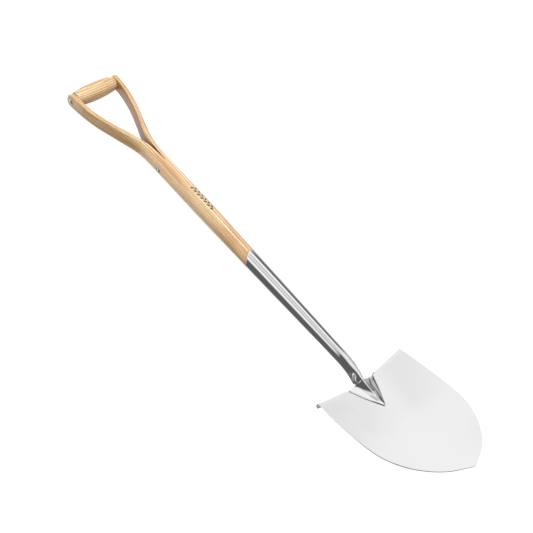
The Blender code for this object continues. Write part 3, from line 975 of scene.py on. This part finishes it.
def top_station(x):
    """The line where the roll starts dips from the corners to the middle."""
    outward = max((abs(x) - TREAD_INNER) / (half_width(0.0) - TREAD_INNER), 0.0)
    return BLADE_TOP + TREAD_RISE + TREAD_DIP * (1 - outward)


print("blade", round(2 * max(row[1] for row in BLADE_HALF_WIDTH), 1), "mm wide")

# %% [markdown]
# ## Pressing the blade
#
# It starts as a flat grid, cut to the blade's outline by sliding each crossing between the four
# edges, and pressed by lifting each crossing to the height of the dish. The rows keep level with
# the top edge and grow into the point, so no crossing is pinched.

# %% Cut the outline and press the dish
BLADE_ROWS = 18
TREAD_COLUMNS = 8
MIDDLE_COLUMNS = 8
BLADE_COLUMNS = 2 * TREAD_COLUMNS + MIDDLE_COLUMNS


def column_place(i):
    """Columns from -1 to 1 along the top edge, with one at the inner end of each tread."""
    inner = TREAD_INNER / half_width(0.0)
    if i < TREAD_COLUMNS:
        return lerp(-1.0, -inner, i / TREAD_COLUMNS)
    if i > TREAD_COLUMNS + MIDDLE_COLUMNS:
        return lerp(inner, 1.0, (i - TREAD_COLUMNS - MIDDLE_COLUMNS) / TREAD_COLUMNS)
    return lerp(-inner, inner, (i - TREAD_COLUMNS) / MIDDLE_COLUMNS)


def side_point(side, t):
    share = lerp(blade_share(top_station(half_width(0.0))), SIDE_SHARE, t)
    return Vector((side * half_width(share), lerp(BLADE_TOP, BLADE_TIP, share)))


def outline_point(u, t):
    """A point of the flat sheet: u runs across it, and t from its top edge to its point."""
    right = (u + 1) / 2
    corner = half_width(0.0)
    top = Vector((corner * u, top_station(corner * u)))
    low_share = 1 - (1 - SIDE_SHARE) * abs(u) ** POINT_POWER
    low = Vector((math.copysign(half_width(low_share), u), lerp(BLADE_TOP, BLADE_TIP, low_share)))
    sides, tops, lows = (side_point(-1, s).lerp(side_point(1, s), right) for s in (t, 0.0, 1.0))
    return top.lerp(low, t) + sides - tops.lerp(lows, t)


def press_blade():
    bpy.ops.object.select_all(action="DESELECT")
    bpy.ops.mesh.primitive_grid_add(x_subdivisions=BLADE_COLUMNS, y_subdivisions=BLADE_ROWS,
                                    size=2.0, location=(0.0, 0.0, 0.0))
    blade = name_new("blade_sheet")
    for vertex in blade.data.vertices:
        column = round((vertex.co.x + 1) / 2 * BLADE_COLUMNS)
        x, station = outline_point(column_place(column), (1 - vertex.co.y) / 2)
        vertex.co = (x, -station, face_height(x, station))
    return blade


blade_sheet = press_blade()

# %% [markdown]
# ## Rolling the treads
#
# The two treads are the top edge, drawn back over a round bar in small steps: up and over, flat
# for the boot, and down behind with a short lip. Each step is one extrusion of the edge.

# %% Roll the top edge back
RISE_STEPS = 3
FALL_STEPS = 4
EDGE_TOLERANCE = 0.01 * MM
SHEET_EASING = 0.35 * MM


def roll_steps():
    """The rolled edge as (up, back) offsets from its line."""
    points = [(0.0, 0.0)]
    for i in range(1, RISE_STEPS + 1):
        angle = lerp(TREAD_LEAN, math.pi / 2, i / RISE_STEPS)
        points.append((TREAD_RADIUS * (math.sin(angle) - math.sin(TREAD_LEAN)),
                       TREAD_RADIUS * (math.cos(TREAD_LEAN) - math.cos(angle))))
    up, back = points[-1]
    back += TREAD_FLAT
    points.append((up, back))
    for i in range(1, FALL_STEPS + 1):
        angle = lerp(math.pi / 2, TREAD_END, i / FALL_STEPS)
        points.append((up + TREAD_RADIUS * (math.sin(angle) - 1),
                       back - TREAD_RADIUS * math.cos(angle)))
    up, back = points[-1]
    points.append((up + TREAD_LIP * math.cos(TREAD_END), back + TREAD_LIP * math.sin(TREAD_END)))
    return points


def select_tread_edge(blade, side):
    reach = TREAD_INNER - EDGE_TOLERANCE
    work = bmesh.from_edit_mesh(blade.data)
    for edge in work.edges:
        ends = [v.co for v in edge.verts]
        edge.select_set(edge.is_boundary and all(
            side * c.x > reach and abs(-c.y - top_station(c.x)) < EDGE_TOLERANCE for c in ends))
    bmesh.update_edit_mesh(blade.data)


def roll_treads(blade):
    steps = roll_steps()
    for side in (-1, 1):
        start_edit(blade, mode="EDGE")
        select_tread_edge(blade, side)
        for here, there in zip(steps, steps[1:]):
            step = (0.0, there[0] - here[0], here[1] - there[1])
            bpy.ops.mesh.extrude_edges_move(TRANSFORM_OT_translate={"value": step})
        end_edit()


def thicken(item, thickness):
    wall = item.modifiers.new("sheet_thickness", "SOLIDIFY")
    wall.thickness = thickness
    wall.offset = -1.0
    wall.use_even_offset = True
    apply_modifiers(item)


def turn_face_up(blade):
    """An open sheet has no inside, so the side that looks up is chosen by hand."""
    middle = min(blade.data.polygons, key=lambda face: abs(face.center.x) + face.center.z)
    if middle.normal.z < 0:
        start_edit(blade, select="SELECT")
        bpy.ops.mesh.flip_normals()
        end_edit()


roll_treads(blade_sheet)
tidy_skin(blade_sheet)
turn_face_up(blade_sheet)
thicken(blade_sheet, SHEET)
hold_sharp_edges(blade_sheet, 55)
subdivide(blade_sheet)
round_edges(blade_sheet, SHEET_EASING, segments=1)
finish_piece(blade_sheet, "blade", smooth_degrees=40)

# %% [markdown]
# ## The socket and the frog
#
# The socket is a tapered tube. Below the shaft's end it turns down towards the blade and opens
# into what smiths call the frog: a ridge that dives into the dish, with a wing on each side
# welded to the face. The ridge is like a tent with a rounded crest, and it gets lower and
# narrower. The wings are nearly flat and end in a sloping margin, where the weld was ground
# smooth. Steep sides mirror the dark part of the room, and flat ones mirror its wall.

# %% Measures of the frog
SOCKET_BORE_END = 0.752
NECK_DROP = ((0.480, 0.0), (0.750, 0.0), (0.780, 3.6), (0.800, 5.0))
FROG_CREST = ((0.770, 10.0), (0.785, 8.0), (0.798, 3.8), (0.808, 0.2), (0.820, -2.2),
              (0.835, -3.2), (0.855, -3.8), (0.868, -2.6))
FROG_HALF_WIDTH = ((0.778, 12.4), (0.796, 12.5), (0.8048, 13.2), (0.8056, 31.9), (0.815, 28.2),
                   (0.838, 18.2), (0.856, 8.6), (0.868, 1.4))
RIDGE_FOOT = ((0.790, 11.0), (0.8048, 11.4), (0.8056, 17.5), (0.8095, 14.6), (0.815, 11.0),
              (0.824, 9.4), (0.840, 9.0), (0.856, 5.6), (0.868, 1.0))
CREST_RADIUS = ((0.790, 9.0), (0.806, 4.2), (0.820, 2.6), (0.850, 2.0), (0.868, 0.6))
WING_SLOPE = math.tan(math.radians(5))
WELD_MARGIN = 2.6 * MM
WELD_EDGE = 0.5 * MM
FROG_TIP = 0.868
FROG_PLATE = 1.6 * MM
FOOT_LIMIT = 0.82
MARGIN_LIMIT = 0.6
LEAST_RIDGE = 0.4 * MM
CREST_LIMIT = 0.6
LEAST_SLOPE = 0.05
MARGIN_DROP = 0.42
TURN_MIDDLE = 0.7
TURN_WIDTH = 0.6
QUARTER = 12
CREST_STEPS = 4
FLANK_STEPS = 3
WING_STEPS = 3
NECK_START = 0.776
NECK_FRONT_END = 0.8048
NECK_BACK_END = 0.799


def tube_ring(station_at, radius, drop):
    angles = [math.pi / 2 * i / QUARTER for i in range(4 * QUARTER)]
    return [Vector((radius * math.sin(a), -station_at(a), radius * math.cos(a) - drop))
            for a in angles]


# %% [markdown]
# A section of the frog is drawn from its crest outwards: over the crest, down the flank to its
# foot, across the wing, down the margin, then back under the plate along the blade's face.

# %% Sections of the frog
def wing_height(x, station, half, margin):
    """The plate's top, level with its thickness at the margin and rising a little inwards."""
    plate = TOUCH_GAP + FROG_PLATE
    rise = WING_SLOPE * (half - margin - x)
    return max(face_height(half - margin, station) + plate + rise,
               face_height(x, station) + plate)


def frog_front(station, half):
    """Points from the crest to the wing's edge, as (x, z)."""
    foot = min(between(RIDGE_FOOT, station), half * FOOT_LIMIT)
    margin = min(WELD_MARGIN, (half - foot) * MARGIN_LIMIT)
    foot_height = wing_height(foot, station, half, margin)
    crest = max(between(FROG_CREST, station), foot_height + LEAST_RIDGE)
    slope = math.atan2(crest - foot_height, foot)
    widest = CREST_LIMIT * foot / math.sin(slope + LEAST_SLOPE)
    radius = min(between(CREST_RADIUS, station), widest)
    points = [(radius * math.sin(slope * k / CREST_STEPS),
               crest - radius * (1 - math.cos(slope * k / CREST_STEPS)))
              for k in range(CREST_STEPS + 1)]
    shoulder = points[-1]
    points += [(lerp(shoulder[0], foot, k / FLANK_STEPS),
                lerp(shoulder[1], foot_height, k / FLANK_STEPS))
               for k in range(1, FLANK_STEPS + 1)]
    for k in range(1, WING_STEPS + 1):
        x = lerp(foot, half - margin, k / WING_STEPS)
        points.append((x, wing_height(x, station, half, margin)))
    last = face_height(half, station) + TOUCH_GAP + WELD_EDGE
    points.append((half - margin / 2, lerp(points[-1][1], last, MARGIN_DROP)))
    return points + [(half, last)]


def frog_ring(station):
    half = between(FROG_HALF_WIDTH, station)
    front = frog_front(station, half)
    points = []
    for i in range(4 * QUARTER):
        side = 1 if i <= 2 * QUARTER else -1
        k = i if side == 1 else 4 * QUARTER - i
        if k <= QUARTER:
            x, z = front[k]
        else:
            x = half * (2 * QUARTER - k) / QUARTER
            z = face_height(x, station) + TOUCH_GAP
        points.append(Vector((side * x, -station, z)))
    return points


def neck_ring(station):
    """The back of the tube opens a little sooner than its front."""
    tube = tube_ring(level(station), between(SOCKET_RADIUS, station),
                     between(NECK_DROP, station))
    front_share = ease((station - NECK_START) / (NECK_FRONT_END - NECK_START))
    back_share = ease((station - NECK_START) / (NECK_BACK_END - NECK_START))
    points = []
    for i, (a, b) in enumerate(zip(tube, frog_ring(station))):
        from_crest = min(i, 4 * QUARTER - i) / QUARTER
        behind = ease((from_crest - TURN_MIDDLE) / TURN_WIDTH)
        points.append(a.lerp(b, lerp(front_share, back_share, behind)))
    return points


# %% Skin the socket
BORE_STATIONS = (0.742, 0.700, 0.660, 0.610, 0.560, 0.520)
SOCKET_NECK_END = 0.756
RIM_RING = 1.0 * MM
SOCKET_EASING = 0.3 * MM
NECK_STATIONS = (0.768, 0.776, 0.784, 0.790, 0.795, 0.7995, 0.8048, 0.8056, 0.8095, 0.815,
                 0.824, 0.834, 0.845, 0.856, 0.863, FROG_TIP)


def below_rim(angle):
    """A ring close to the rim keeps the mirror true right up to it."""
    return rim_station(angle) + RIM_RING


def skin_socket():
    rim = between(SOCKET_RADIUS, RIM_STATION)
    work = bmesh.new()
    blind = between(SOCKET_RADIUS, SOCKET_BORE_END) - SOCKET_WALL - END_CHAMFER
    ring = add_ring(work, tube_ring(level(SOCKET_BORE_END), blind, 0.0))
    work.faces.new(ring)
    sections = [tube_ring(level(s), between(SOCKET_RADIUS, s) - SOCKET_WALL, 0.0)
                for s in BORE_STATIONS]
    sections.append(tube_ring(rim_station, rim - SOCKET_WALL, 0.0))
    sections += [tube_ring(station_at, rim, 0.0) for station_at in (rim_station, below_rim)]
    sections += [tube_ring(level(s), between(SOCKET_RADIUS, s), between(NECK_DROP, s))
                 for s in BORE_STATIONS[::-1] + (SOCKET_NECK_END,)]
    sections += [neck_ring(s) for s in NECK_STATIONS]
    skin(work, ring, sections)
    return object_from(work, "socket_and_frog")


socket_and_frog = skin_socket()
hold_sharp_edges(socket_and_frog, 64)
subdivide(socket_and_frog)
round_edges(socket_and_frog, SOCKET_EASING, segments=1, degrees=50)
bore_pin_hole(socket_and_frog)
finish_piece(socket_and_frog, "socket", smooth_degrees=40)

# %% [markdown]
# ## Where hands and soil rub
#
# Wear starts at edges. Each corner of a mesh learns how close it is to a sharp edge, and the
# materials break that band up with noise. A search tree of points along the sharp edges makes
# the distances quick to find.

# %% Measure the distance to sharp edges
EDGE_REACH = 4.0 * MM
SHARP = math.radians(28)


def edge_points(item):
    work = bmesh.new()
    work.from_mesh(item.data)
    points = [(edge.verts[0].co + edge.verts[1].co) / 2 for edge in work.edges
              if len(edge.link_faces) == 2 and edge.calc_face_angle() > SHARP]
    work.free()
    return points


def mark_edges(item):
    points = edge_points(item)
    tree = kdtree.KDTree(len(points))
    for i, point in enumerate(points):
        tree.insert(point, i)
    tree.balance()
    near = item.data.attributes.new("near_edge", "FLOAT", "POINT")
    for corner, vertex in zip(near.data, item.data.vertices):
        distance = tree.find(vertex.co)[2] if points else EDGE_REACH
        corner.value = max(0.0, 1 - distance / EDGE_REACH)
    return len(points)


wooden = [ash_shaft, ash_grip]
fasteners = [handle_rod, fork_rivet, socket_back_pin] + washers
for item in wooden + fasteners + [blade_sheet, socket_and_frog]:
    print(item.name, "sharp points", mark_edges(item))

# %% [markdown]
# ## Shared effects: node groups
#
# Worn edges and a film of handling serve every material, and polishing marks serve the three
# steels, so each effect is a node group with named sockets. The ash grain and the print are made
# in the same way. A group gives only masks and heights. The shader that uses them stays in the
# material. A pattern of noise is written as its cells to the metre along each axis, its detail
# and its roughness, and a mask as the range of noise that it spreads from 0 to 1.

# %% Building a group
VECTOR = "NodeSocketVector"
NUMBER = "NodeSocketFloat"


def new_group(name, inputs, outputs):
    group = bpy.data.node_groups.new(name, "ShaderNodeTree")
    for label, kind, value in inputs:
        socket = group.interface.new_socket(label, in_out="INPUT", socket_type=kind)
        if value is not None:
            socket.default_value = value
    for label in outputs:
        group.interface.new_socket(label, in_out="OUTPUT", socket_type=NUMBER)
    given = add_node(group, "NodeGroupInput").outputs
    return group, given, add_node(group, "NodeGroupOutput")


def use_group(tree, name, **values):
    made = add_node(tree, "ShaderNodeGroup", node_tree=bpy.data.node_groups[name])
    return feed_all(tree, made, **values).outputs


# %% [markdown]
# Ash is ring porous. Each spring it grows a row of wide open tubes, and then dense summer wood.
# Cut along the log, the rows of tubes show as darker, broken lines. The rings are circles round
# a heart that lies outside the shaft, wandering a little along the log, and the log is never
# quite parallel to its heart, which draws long arches where a ring is cut at a low angle.

# %% Ash grain
HEART = (-0.049, -0.034)
RING_WIDTH = 0.0043
RING_WANDER = 0.0030
LOG_SLOPE = 0.016
SPRING_RISE = 0.10
SPRING_FADE = 4.0
DRIFT_CELLS = (26.0, 2.6, 26.0)
DRIFT_SHIFTS = ((0.0, 0.0, 0.0), (5.0, 9.0, 3.0))
TUBES = ((2600.0, 85.0, 2600.0), 2.0, 0.6)
OPEN_TUBES = (0.44, 0.62)
FIBRES = ((900.0, 14.0, 900.0), 4.0, 0.65)
FIBRE_SHARE = 0.6
PATCHES = ((60.0, 5.0, 60.0), 2.0, 0.5, (2.0, 4.0, 8.0))
SPRING_DEPTH = 0.35


def make_ash_grain():
    group, given, out = new_group(
        "ash_grain",
        [("Log", VECTOR, None), ("Ring Width", NUMBER, RING_WIDTH),
         ("Wander", NUMBER, RING_WANDER), ("Slope", NUMBER, LOG_SLOPE)],
        ["Spring Wood", "Pores", "Streaks", "Height"])
    log = given["Log"]
    place = axes_of(group, log)
    wander = times(group, given["Wander"], 2.0)
    squares = []
    for axis, heart, shift in zip("XZ", HEART, DRIFT_SHIFTS):
        drift = noise(group, log, DRIFT_CELLS, shift=shift)
        from_heart = times_plus(group, minus(group, drift, 0.5), wander,
                                minus(group, place[axis], heart))
        squares.append(times(group, from_heart, from_heart))
    across = maths(group, "SQRT", plus(group, *squares))
    radius = times_plus(group, place["Y"], given["Slope"], across)
    season = maths(group, "FRACT", maths(group, "DIVIDE", radius, given["Ring Width"]))
    fading = maths(group, "POWER", minus(group, 1.0, season), SPRING_FADE)
    spring = times(group, fading, spread(group, season, 0.0, SPRING_RISE))
    tubes = spread(group, noise(group, log, *TUBES), *OPEN_TUBES)
    pores = times(group, tubes, spring, clamp=True)
    streaks = plus(group, times(group, noise(group, log, *FIBRES), FIBRE_SHARE),
                   times(group, noise(group, log, *PATCHES), 1 - FIBRE_SHARE))
    depth = plus(group, times(group, spring, SPRING_DEPTH), times(group, pores, 1 - SPRING_DEPTH))
    feed_all(group, out, Spring_Wood=spring, Pores=pores, Streaks=streaks,
             Height=minus(group, 1.0, depth))


make_ash_grain()

# %% [markdown]
# Steel is polished on a wheel that runs along it, so its finest scratches are long and thin and
# lie along the spade. Seen close they carry a faint stripe in brightness and in gloss.

# %% Polishing marks
SCRATCHES = ((1100.0, 11.0, 1100.0), 4.0, 0.7)
CLOUDS = ((34.0, 13.0, 34.0), 3.0, 0.55)


def make_polishing_marks():
    group, given, out = new_group("polishing_marks", [("Place", VECTOR, None)],
                                  ["Scratches", "Clouds"])
    feed_all(group, out, Scratches=noise(group, given["Place"], *SCRATCHES),
             Clouds=noise(group, given["Place"], *CLOUDS))


make_polishing_marks()

# %% [markdown]
# An edge that is knocked and rubbed loses its finish in patches, not in an even line. The
# closeness to an edge, stored in the mesh, is cut by noise.

# %% Worn edges
BREAKS = ((240.0, 240.0, 240.0), 4.0, 0.6)
BREAK_STRENGTH = 0.9
WORN_THROUGH = (0.62, 1.0)


def make_worn_edges():
    group, given, out = new_group(
        "worn_edges",
        [("Near Edge", NUMBER, 0.0), ("Place", VECTOR, None), ("Amount", NUMBER, 0.5)], ["Worn"])
    breaks = noise(group, given["Place"], *BREAKS)
    reach = times_plus(group, minus(group, breaks, 0.5), BREAK_STRENGTH, given["Near Edge"])
    worn = spread(group, reach, *WORN_THROUGH)
    feed_all(group, out, Worn=times(group, worn, given["Amount"], clamp=True))


make_worn_edges()

# %% [markdown]
# Hands leave a film: soft clouds, and a few specks of dust. It shows mainly as a change of gloss.

# %% A film of handling
FILM = (((55.0, 38.0, 55.0), 5.0, 0.6), (0.42, 0.78))
DUST = (((900.0, 900.0, 900.0), 1.0), (0.74, 0.80))


def make_handling():
    group, given, out = new_group(
        "handling", [("Place", VECTOR, None), ("Amount", NUMBER, 0.5)], ["Film", "Dust"])
    for label, (pattern, band) in (("Film", FILM), ("Dust", DUST)):
        mask = spread(group, noise(group, given["Place"], *pattern), *band)
        feed(group, out.inputs[label], times(group, mask, given["Amount"], clamp=True))


make_handling()
print("groups:", [group.name for group in bpy.data.node_groups])

# %% [markdown]
# ## A printed sprig
#
# On the front of the shaft is a small green print. It is a plain sprig of leaves on a stem, and
# it says nothing. A leaf is the overlap of two arcs, so it is wide in the middle and pointed at
# both ends. Leaves repeat along the stem, and those on the other side are half a step further on.

# %% Leaf sprig
SPRIG_START = 0.303
SPRIG_END = 0.367
SPRIG_TURN = math.radians(11)
LEAF_STEP = 10.0 * MM
LEAF_LENGTH = 8.0 * MM
LEAF_WIDTH = 2.1 * MM
LEAF_SLANT = math.radians(46)
STEM_WIDTH = 0.7 * MM
PRINT_BLUR = 0.08 * MM


def make_leaf_sprig():
    group, given, out = new_group("leaf_sprig", [("Log", VECTOR, None)], ["Print"])
    place = axes_of(group, given["Log"])
    lean, rise = math.sin(LEAF_SLANT), math.cos(LEAF_SLANT)
    turn = maths(group, "ARCTAN2", place["X"], place["Z"])
    around = times(group, minus(group, turn, SPRIG_TURN), between(SHAFT_RADIUS, SPRIG_START))
    beside = maths(group, "ABSOLUTE", around)
    side = maths(group, "GREATER_THAN", around, 0.0)
    along = times_plus(group, side, LEAF_STEP / 2, place["Y"])
    cell = maths(group, "FRACT", maths(group, "DIVIDE", along, LEAF_STEP))
    step = times(group, minus(group, cell, 0.5), LEAF_STEP)
    from_stem = minus(group, beside, LEAF_LENGTH / 2 * lean + STEM_WIDTH / 2)
    down_leaf = plus(group, times(group, step, -rise), times(group, from_stem, lean))
    over_leaf = plus(group, times(group, step, lean), times(group, from_stem, rise))
    share = maths(group, "DIVIDE", down_leaf, LEAF_LENGTH / 2)
    bulge = times_plus(group, times(group, share, share), -LEAF_WIDTH, LEAF_WIDTH)
    leaf = minus(group, bulge, maths(group, "ABSOLUTE", over_leaf))
    shape = spread(group, maths(group, "MAXIMUM", leaf, minus(group, STEM_WIDTH, beside)),
                   -PRINT_BLUR, PRINT_BLUR)
    inside = times(group, maths(group, "GREATER_THAN", place["Y"], SPRIG_START),
                   maths(group, "LESS_THAN", place["Y"], SPRIG_END))
    feed_all(group, out, Print=times(group, shape, inside))


make_leaf_sprig()

# %% [markdown]
# ## Materials
#
# Each material starts from one Principled shader. Values that are the same all over are set on
# the shader itself, and only what changes over the surface is fed by nodes.

# %% Starting a material
def new_material(name):
    material = bpy.data.materials.new(name)
    material.use_nodes = True
    tree = material.node_tree
    return material, tree, tree.nodes["Principled BSDF"]


def attribute(tree, name, output):
    return add_node(tree, "ShaderNodeAttribute", attribute_name=name).outputs[output]


def wear_and_film(tree, place, wear):
    worn = use_group(tree, "worn_edges", Near_Edge=attribute(tree, "near_edge", "Fac"),
                     Place=place, Amount=wear)
    return worn["Worn"], use_group(tree, "handling", Place=place, Amount=0.5)


def bump(tree, shader, height, distance, strength=1.0):
    made = add_node(tree, "ShaderNodeBump")
    feed_all(tree, made, Strength=strength, Distance=distance, Height=height)
    feed(tree, shader.inputs["Normal"], made.outputs["Normal"])


# %% [markdown]
# The ash is sanded smooth and has a thin clear lacquer. The lacquer fills the wood but sinks a
# little into the open tubes, and it yellows where hands have rubbed the edges. The saw cut
# between the arms gets painted shade: its colour is a darker brown, most of all deep in the
# split, and its lacquer is thinner, so it is less glossy.

# %% Lacquered ash
SUMMER_WOOD = colour(250, 216, 164)
SPRING_WOOD = colour(156, 100, 46)
PORE_BROWN = colour(112, 66, 28)
STREAK_BROWN = colour(202, 148, 86)
RUBBED_WOOD = colour(188, 138, 84)
# Painted shade: the slot between the arms is painted this darker brown, most of all deep in the
# split.
SLOT_SHADE_BROWN = colour(148, 98, 50)
PRINT_GREEN = colour(28, 54, 26)
STREAK_TONE = (0.44, 0.59, 0.0, 0.85)
INK_TONE = (0.25, 0.6, 0.75, 1.0)
# How near the saw cut, and how deep in the split, the painted shade reaches.
SLOT_SHADE_REACH = (0.2 * MM, 1.2 * MM, 1.0, 0.0)
SLOT_SHADE_DEEPENING = (0.02, 0.20, 0.50, 0.95)
WOOD_WEAR = 0.35
WOOD_GLOSS = 0.34
PORE_GLOSS = 0.25
FILM_GLOSS = 0.10
COAT = 0.9
CUT_COAT = -0.7
COAT_ROUGHNESS = 0.11
COAT_IOR = 1.7
PORE_DEPTH = 0.12 * MM
PORE_STRENGTH = 0.6


def slot_shade_mask(tree, log):
    """A mask of the cut between the arms for painted shade, strongest down in the end of the
    split.
    """
    place = axes_of(tree, log)
    at_cut = spread(tree, maths(tree, "ABSOLUTE", place["X"]), *SLOT_SHADE_REACH)
    deeper = spread(tree, place["Y"], *SLOT_SHADE_DEEPENING)
    split = maths(tree, "LESS_THAN", place["Y"], SPLIT_END + 0.5 * MM)
    return times(tree, times(tree, at_cut, deeper), split)


def make_ash():
    material, tree, shader = new_material("lacquered_ash")
    log = attribute(tree, "log_place", "Vector")
    grain = use_group(tree, "ash_grain", Log=log)
    worn, handled = wear_and_film(tree, log, WOOD_WEAR)
    # The slot between the arms gets painted shade in its colour, and a thinner coat.
    cut = slot_shade_mask(tree, log)
    ink = times(tree, use_group(tree, "leaf_sprig", Log=log)["Print"],
                spread(tree, grain["Streaks"], *INK_TONE))
    wood = mix(tree, grain["Spring Wood"], SUMMER_WOOD, SPRING_WOOD)
    for share, tone in ((spread(tree, grain["Streaks"], *STREAK_TONE), STREAK_BROWN),
                        (grain["Pores"], PORE_BROWN), (worn, RUBBED_WOOD), (cut, SLOT_SHADE_BROWN),
                        (ink, PRINT_GREEN)):
        wood = mix(tree, share, wood, tone)
    gloss = times_plus(tree, grain["Pores"], PORE_GLOSS,
                       times_plus(tree, handled["Film"], FILM_GLOSS, WOOD_GLOSS))
    feed_all(tree, shader, Base_Color=wood, Roughness=gloss, Coat_Roughness=COAT_ROUGHNESS,
             Coat_IOR=COAT_IOR, Coat_Weight=times_plus(tree, cut, CUT_COAT, COAT))
    bump(tree, shader, grain["Height"], PORE_DEPTH, PORE_STRENGTH)
    return material


lacquered_ash = make_ash()
for item in wooden:
    item.data.materials.append(lacquered_ash)

# %% [markdown]
# Lacquer shows a lamp as a pale streak down the shaft, broken by the grain. The two soft lamps
# are kept out of mirror images, so the wood has a small lamp of its own, nearly overhead. Light
# linking lets it shine on the two ash pieces only, and the steel never sees it.

# %% A lamp for the lacquer
LACQUER_LAMP = ("lacquer_lamp", (0.50, 0.97, 2.80), 0.9, 8.0)


def make_lacquer_lamp():
    lamp = make_lamp(*LACQUER_LAMP)
    lamp.visible_glossy = True
    ash_only = bpy.data.collections.new("ash_only")
    for item in wooden:
        ash_only.objects.link(item)
    lamp.light_linking.receiver_collection = ash_only


make_lacquer_lamp()

# %% [markdown]
# Three steels differ in how far they were polished. The socket is buffed to a mirror, the blade
# is left finer than satin, and the small fasteners are bright but hammered. All three read the
# same groups, with their own values: tint, roughness, how much scratches and clouds add to it,
# wear at the edges, and the height of the scratches.

# %% Steels
RUBBED_STEEL = colour(232, 232, 234)
DUST_GREY = colour(190, 186, 180)
SCRATCH_TONE = (0.3, 0.7)
SCRATCH_SHADE = 0.96
DUST_SHARE = 0.3
FILM_ROUGHNESS = 0.04
WORN_ROUGHNESS = 0.15
STEELS = (
    ("mirror_polished_steel", colour(247, 247, 248), 0.005, 0.02, 0.02, 0.3, 0.001 * MM,
     [socket_and_frog]),
    ("fine_polished_sheet", colour(247, 247, 248), 0.16, 0.05, 0.08, 0.5, 0.004 * MM,
     [blade_sheet]),
    ("hammered_rivet_steel", colour(226, 226, 228), 0.20, 0.08, 0.10, 0.6, 0.010 * MM,
     fasteners))


def make_steel(name, tint, roughness, scratch_gloss, cloud_gloss, wear, height):
    material, tree, shader = new_material(name)
    place = add_node(tree, "ShaderNodeTexCoord").outputs["Object"]
    marks = use_group(tree, "polishing_marks", Place=place)
    worn, handled = wear_and_film(tree, place, wear)
    bright = mix(tree, spread(tree, marks["Scratches"], *SCRATCH_TONE), tint,
                 tuple(SCRATCH_SHADE * v for v in tint[:3]) + (1.0,))
    edged = mix(tree, worn, bright, RUBBED_STEEL)
    dusty = mix(tree, times(tree, handled["Dust"], DUST_SHARE), edged, DUST_GREY)
    rough = times_plus(tree, marks["Clouds"], cloud_gloss, roughness)
    rough = times_plus(tree, marks["Scratches"], scratch_gloss, rough)
    rough = times_plus(tree, handled["Film"], FILM_ROUGHNESS, rough)
    rough = times_plus(tree, worn, WORN_ROUGHNESS, rough, clamp=True)
    feed_all(tree, shader, Base_Color=dusty, Roughness=rough, Metallic=1.0)
    bump(tree, shader, marks["Scratches"], height)
    return material


for *values, items in STEELS:
    steel = make_steel(*values)
    for item in items:
        item.data.materials.append(steel)
